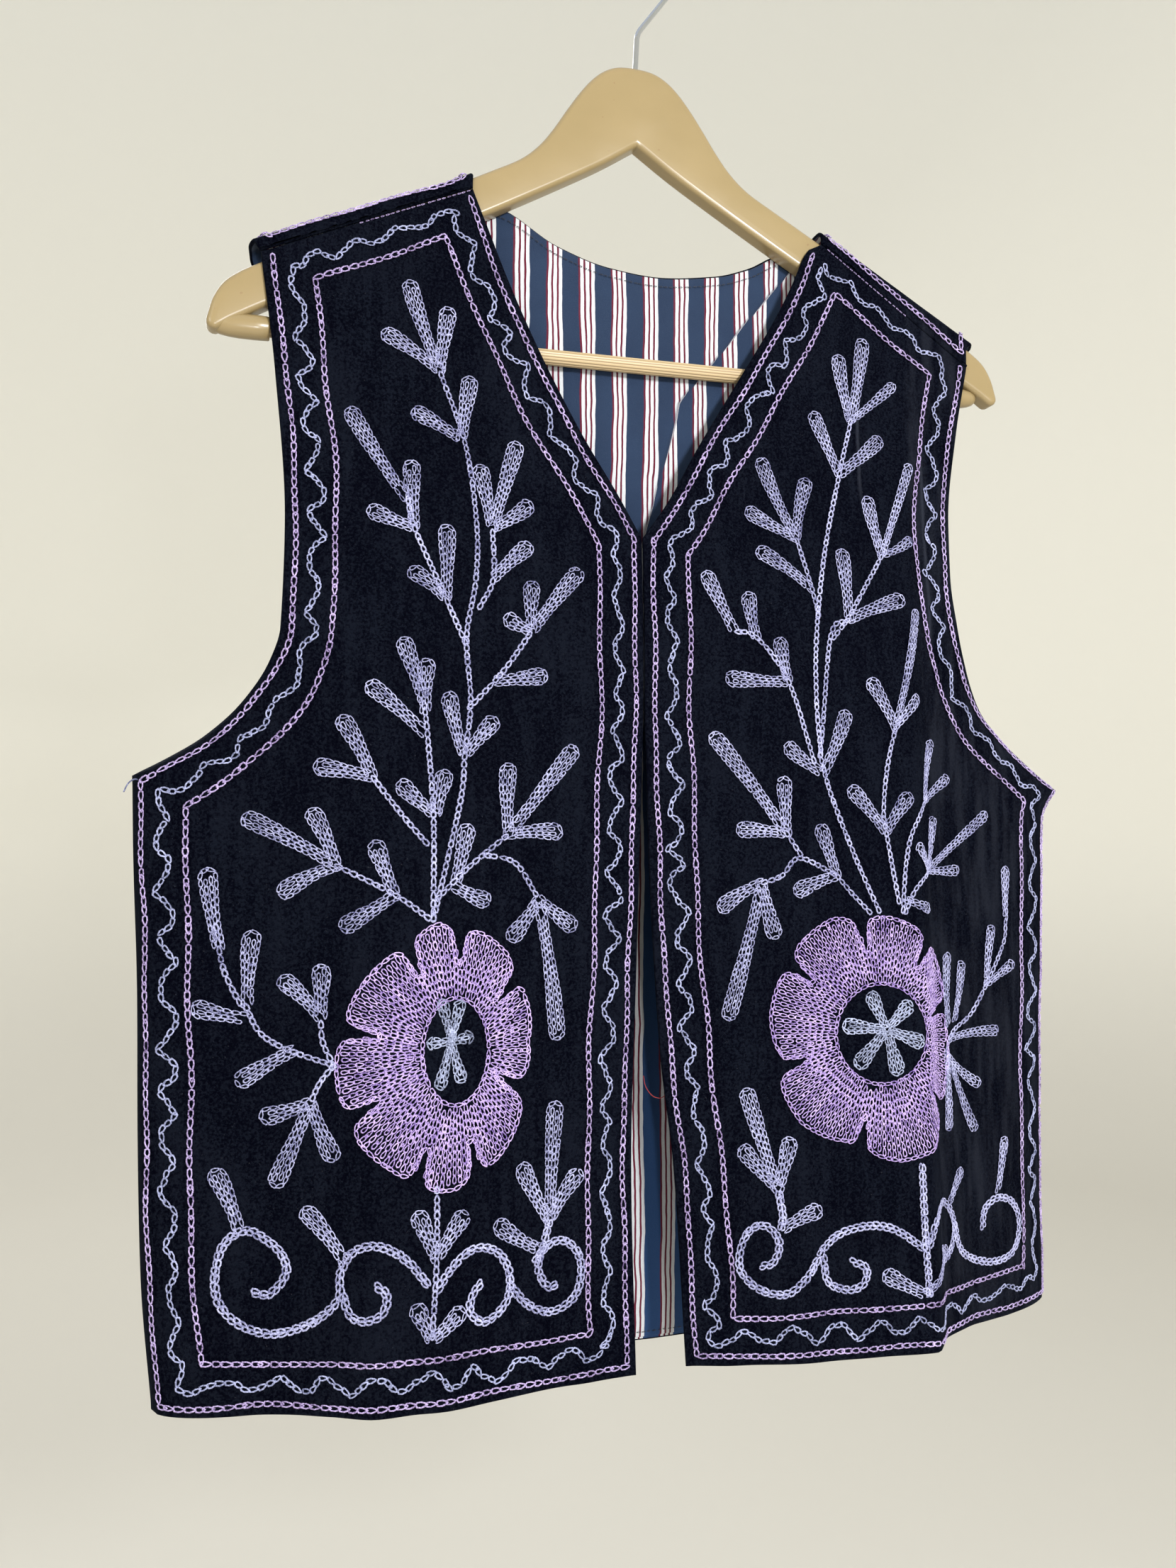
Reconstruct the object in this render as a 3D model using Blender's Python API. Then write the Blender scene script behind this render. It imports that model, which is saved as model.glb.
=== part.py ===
"""An embroidered folk vest on its clothes hanger, at its real size.

Metres, +Z up. The origin is the inside of the hook's crown, where a rail bears. The fronts
face -Y, and +X is on the right of somebody who looks at them. Tables are in millimetres;
a "drop" is a height measured down from the origin, and a depth is a place along Y.
The vest has two fronts, a back that folds over the hanger's arms to a seam in front of
them, and the back's lining. Each is a wall of cloth with the form in which it hangs.
"""
import math
from collections import namedtuple

import bmesh
import bpy
import numpy as np
from mathutils import Vector

MM = 0.001
GAP = 0.3                  # between pieces that meet
REST_GAP = 0.7             # between an arm's upper edge and the cloth folded over it

# The hanger: a flat board with a humped middle, two arms and a trouser bar
BOARD_THICKNESS = 11.0
BOARD_BEVEL = 2.5
HOOK_RISE = 80.0           # crown of the hook above the board's top
BOARD_X = -4.0             # middle of the board, beside the crown
BOARD_TILT = -1.42         # degrees about Y: its +X arm hangs higher
BAR_DROP = 164.5           # bar's axis below the board's top
BAR_DIAMETER = 8.0
BAR_RIBS = 14
BAR_RIB_DEPTH = 0.25
BAR_HALF_LENGTH = 203.0
SOCKET_DIAMETER = 11.0
SOCKET_FACE = 193.0        # inner face of each socket, from the board's middle
SOCKET_END = 207.0
SOCKET_DEPTH = 10.5

# The hook: one bent steel wire
WIRE_DIAMETER = 3.0
SHANK_HEIGHT = 20.0        # from the board's top to the bend
SHANK_SUNK = 12.0
FOOT_X = -3.0              # lower end of the wire
BEND_X = -1.5
BEND_ANGLE = 35.5          # degrees from upright
BEND_ROUNDING = 4.0
CROWN_RADIUS = 20.3        # inside the hook
HOOK_END_ANGLE = 203.0     # where the arc ends, from +X round over the top

# The cloth
WALL = 2.2                 # velvet and its backing
LINING_WALL = 1.0
FRONT_FACE = -8.0          # outer face of the fronts where they lie on the arms
BACK_FACE = 9.3            # outer face of the back behind the arms
ROLL_RADIUS = 5.5          # outer corners of the fold over an arm
SIDE_SEAM_DEPTH = 2.0      # plane of the side seams
SIDE_ROUND = 28.0          # width over which the cloth turns to a side seam
V_BOTTOM = 342.0
UNDERARM = 470.0
HEM = 764.0
BACK_ROWS_LEVEL = 250.0    # below this the back's rows are level
BACK_STAGES = (0.0, 0.1, 0.25, 0.55, 1.0)  # seam, neck edge, level rows, underarm, hem
CORNER_ROW = 0.565         # share down a panel of the row just below the underarm corner
LINING_RIM = 1.5           # velvet that shows past the lining's neck edge
LINING_HEM_RIM = 2.5

Edge = namedtuple("Edge", "drop x")
Hang = namedtuple("Hang", "x yoke chest hem")
Shoulder = namedtuple("Shoulder", "neck_x tip_x crest slope seam_at_neck seam_at_tip")
YOKE_LEVEL, CHEST_LEVEL = 215.0, 400.0

# The fold over each arm: its crest falls from the neck, and the seam lies below it in front
RIGHT_SHOULDER = Shoulder(neck_x=-93.0, tip_x=-197.5, crest=156.6, slope=0.466,
                          seam_at_neck=9.0, seam_at_tip=9.0)
LEFT_SHOULDER = Shoulder(neck_x=106.0, tip_x=200.0, crest=155.5, slope=0.524,
                         seam_at_neck=9.0, seam_at_tip=19.0)

# The wearer's right front, which hangs at -X
RIGHT_NECK = (Edge(166, -93), Edge(185, -85), Edge(210, -74.5), Edge(250, -55.5),
              Edge(290, -34), Edge(320, -15.5), Edge(V_BOTTOM, -3.5))
RIGHT_CENTRE = (Edge(V_BOTTOM, -3.5), Edge(440, -5), Edge(560, -9), Edge(665, -12.5),
                Edge(HEM, -10.5))
RIGHT_ARMHOLE = (Edge(214, -197.5), Edge(272, -190), Edge(347, -184.5), Edge(399, -186),
                 Edge(415, -191), Edge(434, -203), Edge(451, -220.5), Edge(462, -237.5),
                 Edge(UNDERARM, -252))
RIGHT_SIDE = (Edge(UNDERARM, -252), Edge(505, -251), Edge(571, -248), Edge(637, -246.5),
              Edge(702, -244), Edge(HEM, -238))
RIGHT_HANG = (Hang(-235, -8, -10, -12), Hang(-198, -8, -14, -16), Hang(-178, -8, -17, -21.5),
              Hang(-158, -8, -20, -30), Hang(-138, -8, -22, -38.5), Hang(-110, -8, -24, -40),
              Hang(-83, -8, -24, -36), Hang(-50, -8, -23, -31), Hang(-5, -8, -21, -29))

# The wearer's left front, at +X, with one sharp fold down to the hem
LEFT_NECK = (Edge(164.5, 106), Edge(166.5, 101), Edge(171, 96.5), Edge(190, 88), Edge(210, 78),
             Edge(250, 54), Edge(290, 29.5), Edge(320, 12.5), Edge(V_BOTTOM, -3.1))
LEFT_CENTRE = (Edge(V_BOTTOM, -3.1), Edge(430, -4.2), Edge(462, -3.2), Edge(515, -1.5),
               Edge(608, 4), Edge(665, 10.6), Edge(HEM, 16.3))
LEFT_ARMHOLE = (Edge(224.5, 200), Edge(265, 192), Edge(317, 184.8), Edge(350, 184.3),
                Edge(378, 187.5), Edge(402, 192.5), Edge(423, 204), Edge(440.5, 223),
                Edge(457.7, 247), Edge(UNDERARM, 265))
LEFT_SIDE = (Edge(UNDERARM, 265), Edge(478, 258), Edge(488, 254.5), Edge(530, 253.5),
             Edge(600, 251), Edge(680, 249.5), Edge(HEM, 250))
LEFT_HANG = (Hang(0, -8, -21, -23), Hang(45, -8, -24, -34.6), Hang(80, -8, -26, -43),
             Hang(119, -8, -26.5, -46.5), Hang(147, -8, -26, -50), Hang(162.5, -8, -20, -35.5),
             Hang(202, -8, -14, -21), Hang(249, -8, -8, -9))

# The back, seen from the front; above the arms its drops run on along the folded cloth
BACK_NECK = (Edge(165.5, -75), Edge(181, -44), Edge(188.5, -15), Edge(190, 8),
             Edge(184.5, 47), Edge(177, 68), Edge(167, 86))
BACK_ARMHOLE_RIGHT = (Edge(188, -198), Edge(205, -203.5), Edge(240, -191), Edge(290, -184.5),
                      Edge(350, -181), Edge(400, -182), Edge(425, -190), Edge(445, -206),
                      Edge(458, -224), Edge(466, -240), Edge(UNDERARM, -252))
BACK_ARMHOLE_LEFT = (Edge(188, 200), Edge(205, 208), Edge(225, 203), Edge(250, 195),
                     Edge(300, 186), Edge(350, 183), Edge(385, 184.5), Edge(412, 193),
                     Edge(433, 211), Edge(448, 232), Edge(460, 249), Edge(UNDERARM, 265))
BACK_HANG = (Hang(-240, 9.3, 10, 9), Hang(-170, 9.3, 13, 14), Hang(-90, 9.3, 14, 17),
             Hang(-20, 9.3, 13, 12), Hang(40, 9.3, 12.5, 10.5), Hang(120, 9.3, 14, 16),
             Hang(190, 9.3, 13, 15), Hang(240, 9.3, 10, 9))

Front = namedtuple("Front", "shoulder neck centre armhole side hang")
WEARERS_RIGHT = Front(RIGHT_SHOULDER, RIGHT_NECK, RIGHT_CENTRE, RIGHT_ARMHOLE, RIGHT_SIDE,
                      RIGHT_HANG)
WEARERS_LEFT = Front(LEFT_SHOULDER, LEFT_NECK, LEFT_CENTRE, LEFT_ARMHOLE, LEFT_SIDE, LEFT_HANG)

# Half of the board's outline, from the hump over the tip and back to the inner corner,
# (x from the board's middle, height above its top's level)
BOARD_HALF = ((0, -2.5), (10, -3.4), (18, -7), (25, -13), (32, -21.5), (39, -31.5), (47, -43.5),
              (55, -53.5), (65, -62), (80, -70.3), (97, -79.3), (130, -97), (163, -114.8),
              (195, -132.3), (206, -138.5), (214, -144.8), (219, -152.8), (221.5, -160.7),
              (222.4, -164.8), (221.4, -167.2), (218.8, -168.4), (216.3, -167.6), (211, -164),
              (204, -160), (195, -155), (140, -125.3), (86, -96), (65, -84.4), (43, -72),
              (20, -58.6))
BOARD_INNER_CORNER = (0, -45.5)
UPPER_EDGE_POINTS = 15     # of the half outline, those along the hump and the arm
OUTLINE_STEPS = 2          # points per stretch of the board's outline

Look = namedtuple("Look", "colour roughness metallic")
VELVET = Look((0.006, 0.006, 0.010), 0.85, 0.0)
LINING_COTTON = Look((0.045, 0.10, 0.20), 0.80, 0.0)
LACQUERED_WOOD = Look((0.66, 0.51, 0.29), 0.30, 0.0)
BAR_WOOD = Look((0.72, 0.56, 0.34), 0.45, 0.0)
STEEL = Look((0.62, 0.64, 0.68), 0.12, 1.0)


# Curves and surfaces

def through(places, values, at):
    """A curve through the given values with no overshoot, held level past its ends."""
    places = np.asarray(places, float)
    values = np.asarray(values, float)
    steps = np.diff(places)
    slopes = np.diff(values) / steps
    tangents = np.zeros(len(places))
    tangents[0], tangents[-1] = slopes[0], slopes[-1]
    for k in range(1, len(places) - 1):
        before, after = slopes[k - 1], slopes[k]
        if before * after > 0:
            tangents[k] = 2 * before * after / (before + after)
    at = np.clip(np.asarray(at, float), places[0], places[-1])
    k = np.clip(np.searchsorted(places, at, side="right") - 1, 0, len(steps) - 1)
    s = (at - places[k]) / steps[k]
    near = (1 + 2 * s) * (1 - s) ** 2 * values[k] + s * (1 - s) ** 2 * steps[k] * tangents[k]
    far = s * s * (3 - 2 * s) * values[k + 1] - s * s * (1 - s) * steps[k] * tangents[k + 1]
    return near + far


def edge_x(edge, drop):
    """Where an edge lies across the vest at a drop."""
    return through([row.drop for row in edge], [row.x for row in edge], drop)


def ease(value, start, end):
    """A smooth step from 0 at start to 1 at end."""
    s = np.clip((value - start) / (end - start), 0, 1)
    return s * s * (3 - 2 * s)


def hang_depth(hang, x, drop):
    """Depth of a hanging panel's outer face, from the yoke through the chest to the hem."""
    across = [row.x for row in hang]
    yoke = through(across, [row.yoke for row in hang], x)
    chest = through(across, [row.chest for row in hang], x)
    hem = through(across, [row.hem for row in hang], x)
    upper = yoke + (chest - yoke) * ease(drop, YOKE_LEVEL, 2 * CHEST_LEVEL - YOKE_LEVEL) * 2
    lower = chest + (hem - chest) * (drop - CHEST_LEVEL) / (HEM - CHEST_LEVEL)
    share = ease(drop, CHEST_LEVEL - 90, CHEST_LEVEL + 90)
    return upper * (1 - share) + lower * share


def turned_to_seam(depth, inset, drop):
    """Bring a panel's depth round to the side seam's plane over its last stretch."""
    q = np.clip(inset / SIDE_ROUND, 0, 1)
    kept = np.sqrt(1 - (1 - q) ** 2)
    kept = 1 - (1 - kept) * ease(drop, UNDERARM - 72, UNDERARM - 3)
    return SIDE_SEAM_DEPTH + (depth - SIDE_SEAM_DEPTH) * kept


def board_to_world(x, height):
    """A point of the board's outline, as drop and x in the vest's frame."""
    tilt = math.radians(BOARD_TILT)
    across = BOARD_X + x * math.cos(tilt) + height * math.sin(tilt)
    up = -x * math.sin(tilt) + height * math.cos(tilt)
    return HOOK_RISE - up, across


def arm_top(x):
    """Drop of the arms' upper edge at x."""
    upper = BOARD_HALF[:UPPER_EDGE_POINTS]
    edge = [board_to_world(-px, pz) for px, pz in reversed(upper[1:])]
    edge += [board_to_world(px, pz) for px, pz in upper]
    return np.interp(x, [across for drop, across in edge], [drop for drop, across in edge])


def crest_drop(shoulder, x):
    """Top of the fold over an arm; near the neck it rests on the arm."""
    line = shoulder.crest + shoulder.slope * np.abs(x - shoulder.neck_x) * np.where(
        np.abs(x) > abs(shoulder.neck_x), 1, -1)
    return np.minimum(line, arm_top(x) - WALL - REST_GAP)


def seam_drop(shoulder, x):
    """The shoulder seam, in front of the arm."""
    share = (x - shoulder.neck_x) / (shoulder.tip_x - shoulder.neck_x)
    below = shoulder.seam_at_neck + (shoulder.seam_at_tip - shoulder.seam_at_neck) * share
    return shoulder.crest + shoulder.slope * abs(x - shoulder.neck_x) + below


# The fronts

def front_point(front, u, t):
    """Outer face of a front: u from the neck and centre edge to the armhole and side edge,
    t from the shoulder seam to the hem."""
    top_in = seam_drop(front.shoulder, front.shoulder.neck_x) + GAP / 2
    top_out = seam_drop(front.shoulder, front.shoulder.tip_x) + GAP / 2
    drop_in = np.interp(t, (0, 0.3, 0.55, 1), (top_in, V_BOTTOM, UNDERARM, HEM))
    drop_out = np.interp(t, (0, 0.3, 0.55, 1), (top_out, V_BOTTOM + 10, UNDERARM, HEM))
    inner = front.neck if drop_in < V_BOTTOM else front.centre
    outer = front.armhole if drop_out < UNDERARM else front.side
    x_in = edge_x(inner, drop_in) if t > 0 else front.shoulder.neck_x
    x_out = edge_x(outer, drop_out) if t > 0 else front.shoulder.tip_x
    x = x_in + (x_out - x_in) * u
    drop = drop_in + (drop_out - drop_in) * u
    depth = turned_to_seam(hang_depth(front.hang, x, drop), abs(x_out - x), drop)
    depth = depth - GAP / 2 * ease(drop, UNDERARM - 72, UNDERARM - 3)
    return np.array((x, depth, -drop))


# The back

def fold_over_arm(shoulder, x, drop):
    """Carry a point of the back's cut cloth up behind an arm, over it and down in front."""
    corner = math.pi / 2 * (ROLL_RADIUS - WALL / 2)
    flat = BACK_FACE - FRONT_FACE - 2 * ROLL_RADIUS
    start = crest_drop(shoulder, x) + ROLL_RADIUS
    run = start - drop
    if run <= corner:
        turn = run / corner * math.pi / 2
        depth = BACK_FACE - ROLL_RADIUS * (1 - math.cos(turn))
        return depth, start - ROLL_RADIUS * math.sin(turn)
    if run <= corner + flat:
        return BACK_FACE - ROLL_RADIUS - (run - corner), start - ROLL_RADIUS
    if run <= 2 * corner + flat:
        turn = (run - corner - flat) / corner * math.pi / 2
        depth = FRONT_FACE + ROLL_RADIUS * (1 - math.sin(turn))
        return depth, start - ROLL_RADIUS * math.cos(turn)
    return FRONT_FACE, start + (run - 2 * corner - flat)


def back_seam_drop(shoulder, x):
    """The shoulder seam's drop on the back's cut cloth, before it folds over the arm."""
    corner = math.pi / 2 * (ROLL_RADIUS - WALL / 2)
    flat = BACK_FACE - FRONT_FACE - 2 * ROLL_RADIUS
    start = crest_drop(shoulder, x) + ROLL_RADIUS
    return start - 2 * corner - flat - (seam_drop(shoulder, x) - GAP / 2 - start)


def back_side_x(side, drop):
    """The back's armhole and side edges on one side."""
    armhole = BACK_ARMHOLE_RIGHT if side < 0 else BACK_ARMHOLE_LEFT
    seam = RIGHT_SIDE if side < 0 else LEFT_SIDE
    return edge_x(armhole, drop) if drop < UNDERARM else edge_x(seam, drop)


def behind_arm_drop(shoulder, x):
    """Just below where the back starts to fold over an arm."""
    return crest_drop(shoulder, x) + ROLL_RADIUS + 2


def back_neck_drop(x):
    """The back's neck edge, between the shoulders."""
    right, left = RIGHT_SHOULDER.neck_x, LEFT_SHOULDER.neck_x
    places = [right] + [row.x for row in BACK_NECK] + [left]
    drops = [float(behind_arm_drop(RIGHT_SHOULDER, right))]
    drops += [row.drop for row in BACK_NECK]
    drops += [float(behind_arm_drop(LEFT_SHOULDER, left))]
    return float(through(places, drops, x))


def in_neck(x):
    return RIGHT_SHOULDER.neck_x <= x <= LEFT_SHOULDER.neck_x


def back_surface(x, drop, inset):
    """The back's outer face over a point of its cut cloth."""
    shoulder = RIGHT_SHOULDER if x < 0 else LEFT_SHOULDER
    start = crest_drop(shoulder, x) + ROLL_RADIUS
    if drop < start:
        depth, folded = fold_over_arm(shoulder, x, drop)
        return np.array((x, depth, -folded))
    depth = turned_to_seam(hang_depth(BACK_HANG, x, drop), inset, drop)
    depth = depth + GAP / 2 * ease(drop, UNDERARM - 72, UNDERARM - 3)
    return np.array((x, depth, -drop))


def back_column(u):
    """Shoulder and x of a column of the back where it meets the back's upper edge."""
    x = back_side_x(-1, 0) + (back_side_x(1, 0) - back_side_x(-1, 0)) * u
    return (RIGHT_SHOULDER if x < 0 else LEFT_SHOULDER), x


def back_at(u, drop):
    """The back's outer face at a share of its width and a drop on its cut cloth."""
    x_from, x_to = back_side_x(-1, drop), back_side_x(1, drop)
    x = x_from + (x_to - x_from) * u
    return back_surface(x, drop, min(x - x_from, x_to - x))


def back_point(u, t):
    """Outer face of the back: u from its -X edge to its +X edge, t from the shoulder seams
    over the arms, past the neck edge's level and down to the hem."""
    shoulder, x = back_column(u)
    seam = back_seam_drop(shoulder, x)
    upper = back_neck_drop(x) if in_neck(x) else behind_arm_drop(shoulder, x)
    levels = (seam, upper, BACK_ROWS_LEVEL, UNDERARM, HEM)
    return back_at(u, float(np.interp(t, BACK_STAGES, levels)))


def lining_point(u, t):
    """The back's outer face again, over the lining's smaller outline."""
    shoulder, x = back_column(u)
    upper = back_neck_drop(x) if in_neck(x) else behind_arm_drop(shoulder, x)
    levels = (upper + LINING_RIM, BACK_ROWS_LEVEL, UNDERARM, HEM - LINING_HEM_RIM)
    return back_at(u, float(np.interp(t, BACK_STAGES[1:], levels)))


# Walls of cloth

def unit(vector):
    return vector / np.linalg.norm(vector)


def grid_with_normals(point, us, ts, facing):
    """Sample a surface, with unit normals that point to the inside of the vest."""
    nudge = 1e-5
    points = np.zeros((len(ts), len(us), 3))
    inward = np.zeros_like(points)
    for j, t in enumerate(ts):
        for i, u in enumerate(us):
            u_low, u_high = max(u - nudge, 0), min(u + nudge, 1)
            t_low, t_high = max(t - nudge, 0), min(t + nudge, 1)
            along = unit(point(u_high, t) - point(u_low, t))
            down = unit(point(u, t_high) - point(u, t_low))
            points[j, i] = point(u, t)
            inward[j, i] = facing * unit(np.cross(along, down))
    return points, inward


def even_shares(point, t, count, pinned=()):
    """Shares u that space a row evenly along the cloth, with the pinned ones among them."""
    fine = 0.5 - 0.5 * np.cos(np.linspace(0, math.pi, 400))
    row = np.array([point(u, t) for u in fine])
    length = np.concatenate(([0], np.cumsum(np.linalg.norm(np.diff(row, axis=0), axis=1))))
    shares = list(np.interp(np.linspace(0, length[-1], count + 1), length, fine))
    for pin in pinned:
        nearest = int(np.argmin([abs(share - pin) for share in shares]))
        shares[nearest] = pin
    return shares


def spaced(*stretches):
    """Shares in stretches: each is (from, to, steps)."""
    shares = [stretches[0][0]]
    for start, end, steps in stretches:
        shares += [start + (end - start) * (k + 1) / steps for k in range(steps)]
    return shares


def wall_object(name, outer, inward, offset, thickness, look, cell_present=None):
    """A closed wall between a surface moved in by offset and the same moved in further.
    Grid cells for which cell_present(row, column) is false are left out."""
    near = (outer + inward * offset) * MM
    far = (outer + inward * (offset + thickness)) * MM
    shape = bmesh.new()
    made = {}

    def corner(sheet, j, i):
        if (id(sheet), j, i) not in made:
            made[id(sheet), j, i] = shape.verts.new(sheet[j, i])
        return made[id(sheet), j, i]

    rim = {}
    for j in range(outer.shape[0] - 1):
        for i in range(outer.shape[1] - 1):
            if cell_present and not cell_present(j, i):
                continue
            cell = ((j, i), (j, i + 1), (j + 1, i + 1), (j + 1, i))
            for sheet in (near, far):
                shape.faces.new([corner(sheet, *spot) for spot in cell])
            for a, b in zip(cell, cell[1:] + cell[:1]):
                if not rim.pop((b, a), None):
                    rim[a, b] = True
    for a, b in rim:
        shape.faces.new((corner(near, *a), corner(near, *b), corner(far, *b), corner(far, *a)))
    bmesh.ops.recalc_face_normals(shape, faces=shape.faces)
    return finished(name, bpy.data.meshes.new(name), shape, look)


# Objects

def material(name, look):
    made = bpy.data.materials.new(name)
    made.use_nodes = True
    shader = made.node_tree.nodes["Principled BSDF"]
    shader.inputs["Base Color"].default_value = (*look.colour, 1.0)
    shader.inputs["Roughness"].default_value = look.roughness
    shader.inputs["Metallic"].default_value = look.metallic
    return made


def finished(name, mesh, shape, look):
    """Write a bmesh into its named object, shaded smooth."""
    shape.to_mesh(mesh)
    shape.free()
    mesh.shade_smooth()
    mesh.set_sharp_from_angle(angle=math.radians(40))
    mesh.materials.append(material(name, look))
    made = bpy.data.objects.new(name, mesh)
    bpy.context.scene.collection.objects.link(made)
    return made


def closed_curve(corners, steps):
    """Catmull-Rom points along a closed outline."""
    count = len(corners)
    points = []
    for k in range(count):
        a, b, c, d = (Vector(corners[(k + shift) % count]) for shift in (-1, 0, 1, 2))
        for step in range(steps):
            s = step / steps
            points.append(0.5 * (2 * b + (c - a) * s + (2 * a - 5 * b + 4 * c - d) * s * s
                                 + (3 * b - a - 3 * c + d) * s ** 3))
    return points


def rod(name, x_from, x_to, drop, radii, look):
    """A rod along X whose section runs through the given radii in turn."""
    shape = bmesh.new()
    rings = []
    for x in (x_from, x_to):
        ring = []
        for k, radius in enumerate(radii):
            angle = 2 * math.pi * k / len(radii)
            ring.append(shape.verts.new((x * MM, radius * math.cos(angle) * MM,
                                         (radius * math.sin(angle) - drop) * MM)))
        rings.append(ring)
    count = len(radii)
    for k in range(count):
        shape.faces.new((rings[0][k], rings[0][(k + 1) % count],
                         rings[1][(k + 1) % count], rings[1][k]))
    shape.faces.new(rings[0])
    shape.faces.new(rings[1])
    bmesh.ops.recalc_face_normals(shape, faces=shape.faces)
    return finished(name, bpy.data.meshes.new(name), shape, look)


def guide(shape_object):
    """Keep a cutter or an added form out of the finished part."""
    shape_object.hide_render = True
    shape_object.display_type = "WIRE"
    return shape_object


def boolean(target, other, operation):
    change = target.modifiers.new(operation.title(), "BOOLEAN")
    change.operation = operation
    change.solver = "EXACT"
    change.object = other


def make_board(frame):
    """The hanger's board, with a socket for the bar in each tip and a hole for the hook."""
    mirrored = [(-x, z) for x, z in reversed(BOARD_HALF[1:])]
    outline = closed_curve(mirrored + list(BOARD_HALF), OUTLINE_STEPS)
    cut = int(len(mirrored + list(BOARD_HALF)) - 1) * OUTLINE_STEPS + 1
    outline = outline[:cut] + [Vector(BOARD_INNER_CORNER)]
    shape = bmesh.new()
    face = [shape.verts.new((p.x * MM, -BOARD_THICKNESS / 2 * MM, p.y * MM)) for p in outline]
    front = shape.faces.new(face)
    grown = bmesh.ops.extrude_face_region(shape, geom=[front])
    moved = [item for item in grown["geom"] if isinstance(item, bmesh.types.BMVert)]
    bmesh.ops.translate(shape, verts=moved, vec=(0, BOARD_THICKNESS * MM, 0))
    bmesh.ops.recalc_face_normals(shape, faces=shape.faces)
    board = finished("hanger_board", bpy.data.meshes.new("hanger_board"), shape,
                     LACQUERED_WOOD)
    board.parent = frame
    rounding = board.modifiers.new("Rounded edges", "BEVEL")
    rounding.width = BOARD_BEVEL * MM
    rounding.segments = 2
    rounding.limit_method = "ANGLE"
    rounding.use_clamp_overlap = False
    rounding.angle_limit = math.radians(50)
    for side in (-1, 1):
        socket = rod(f"socket_form_{side}", side * SOCKET_FACE, side * SOCKET_END, BAR_DROP,
                     [SOCKET_DIAMETER / 2] * 20, LACQUERED_WOOD)
        bore = rod(f"socket_bore_{side}", side * (SOCKET_FACE - 2),
                   side * (SOCKET_FACE + SOCKET_DEPTH), BAR_DROP,
                   [BAR_DIAMETER / 2 + GAP] * 20, LACQUERED_WOOD)
        for form, operation in ((socket, "UNION"), (bore, "DIFFERENCE")):
            form.parent = frame
            boolean(board, guide(form), operation)
    return board


def make_bar(frame):
    """The trouser bar, ribbed along its length."""
    crest = BAR_DIAMETER / 2
    radii = [crest, crest, crest - BAR_RIB_DEPTH] * BAR_RIBS
    bar = rod("hanger_bar", -BAR_HALF_LENGTH, BAR_HALF_LENGTH, BAR_DROP, radii, BAR_WOOD)
    bar.parent = frame
    return bar


def hook_route():
    """Centre line of the hook, from inside the board, through the bend, round the crown."""
    lean = math.radians(BEND_ANGLE)
    bend = Vector((BEND_X, -HOOK_RISE + SHANK_HEIGHT))
    foot = Vector((FOOT_X, -HOOK_RISE - SHANK_SUNK))
    centre = Vector((0, -CROWN_RADIUS))
    radius = CROWN_RADIUS + WIRE_DIAMETER / 2
    before = bend + (foot - bend).normalized() * BEND_ROUNDING
    after = bend + Vector((math.sin(lean), math.cos(lean))) * BEND_ROUNDING
    points = [foot]
    for k in range(5):
        s = k / 4
        points.append(before * (1 - s) ** 2 + bend * 2 * s * (1 - s) + after * s * s)
    start, end = -BEND_ANGLE, HOOK_END_ANGLE
    steps = 26
    for k in range(steps + 1):
        angle = math.radians(start + (end - start) * k / steps)
        points.append(centre + radius * Vector((math.cos(angle), math.sin(angle))))
    return points


def make_hook():
    curve = bpy.data.curves.new("hanger_hook", "CURVE")
    curve.dimensions = "3D"
    curve.bevel_depth = WIRE_DIAMETER / 2 * MM
    curve.bevel_resolution = 2
    curve.use_fill_caps = True
    route = hook_route()
    line = curve.splines.new("POLY")
    line.points.add(len(route) - 1)
    for spot, point in zip(line.points, route):
        spot.co = (point.x * MM, 0, point.y * MM, 1)
    curve.materials.append(material("hanger_hook", STEEL))
    hook = bpy.data.objects.new("hanger_hook", curve)
    bpy.context.scene.collection.objects.link(hook)
    return hook


def cut_hook_hole(board):
    """A blind hole in the hump for the hook's shank, which leans a little."""
    foot = Vector((FOOT_X, -HOOK_RISE - SHANK_SUNK))
    bend = Vector((BEND_X, -HOOK_RISE + SHANK_HEIGHT))
    along = (bend - foot).normalized()
    low, high = foot - along * 1.0, foot + along * (SHANK_SUNK + 4)
    curve = bpy.data.curves.new("hook_hole", "CURVE")
    curve.dimensions = "3D"
    curve.bevel_depth = (WIRE_DIAMETER / 2 + GAP) * MM
    curve.bevel_resolution = 2
    curve.use_fill_caps = True
    line = curve.splines.new("POLY")
    line.points.add(1)
    for spot, point in zip(line.points, (low, high)):
        spot.co = (point.x * MM, 0, point.y * MM, 1)
    source = bpy.data.objects.new("hook_hole_curve", curve)
    bpy.context.scene.collection.objects.link(source)
    bpy.context.view_layer.update()
    mesh = bpy.data.meshes.new_from_object(source.evaluated_get(
        bpy.context.evaluated_depsgraph_get()))
    bpy.data.objects.remove(source)
    hole = bpy.data.objects.new("hook_hole", mesh)
    bpy.context.scene.collection.objects.link(hole)
    boolean(board, guide(hole), "DIFFERENCE")


def make_hanger():
    frame = bpy.data.objects.new("hanger_frame", None)
    bpy.context.scene.collection.objects.link(frame)
    frame.location = (BOARD_X * MM, 0, -HOOK_RISE * MM)
    frame.rotation_euler.y = math.radians(BOARD_TILT)
    board = make_board(frame)
    make_bar(frame)
    make_hook()
    cut_hook_hole(board)


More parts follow.
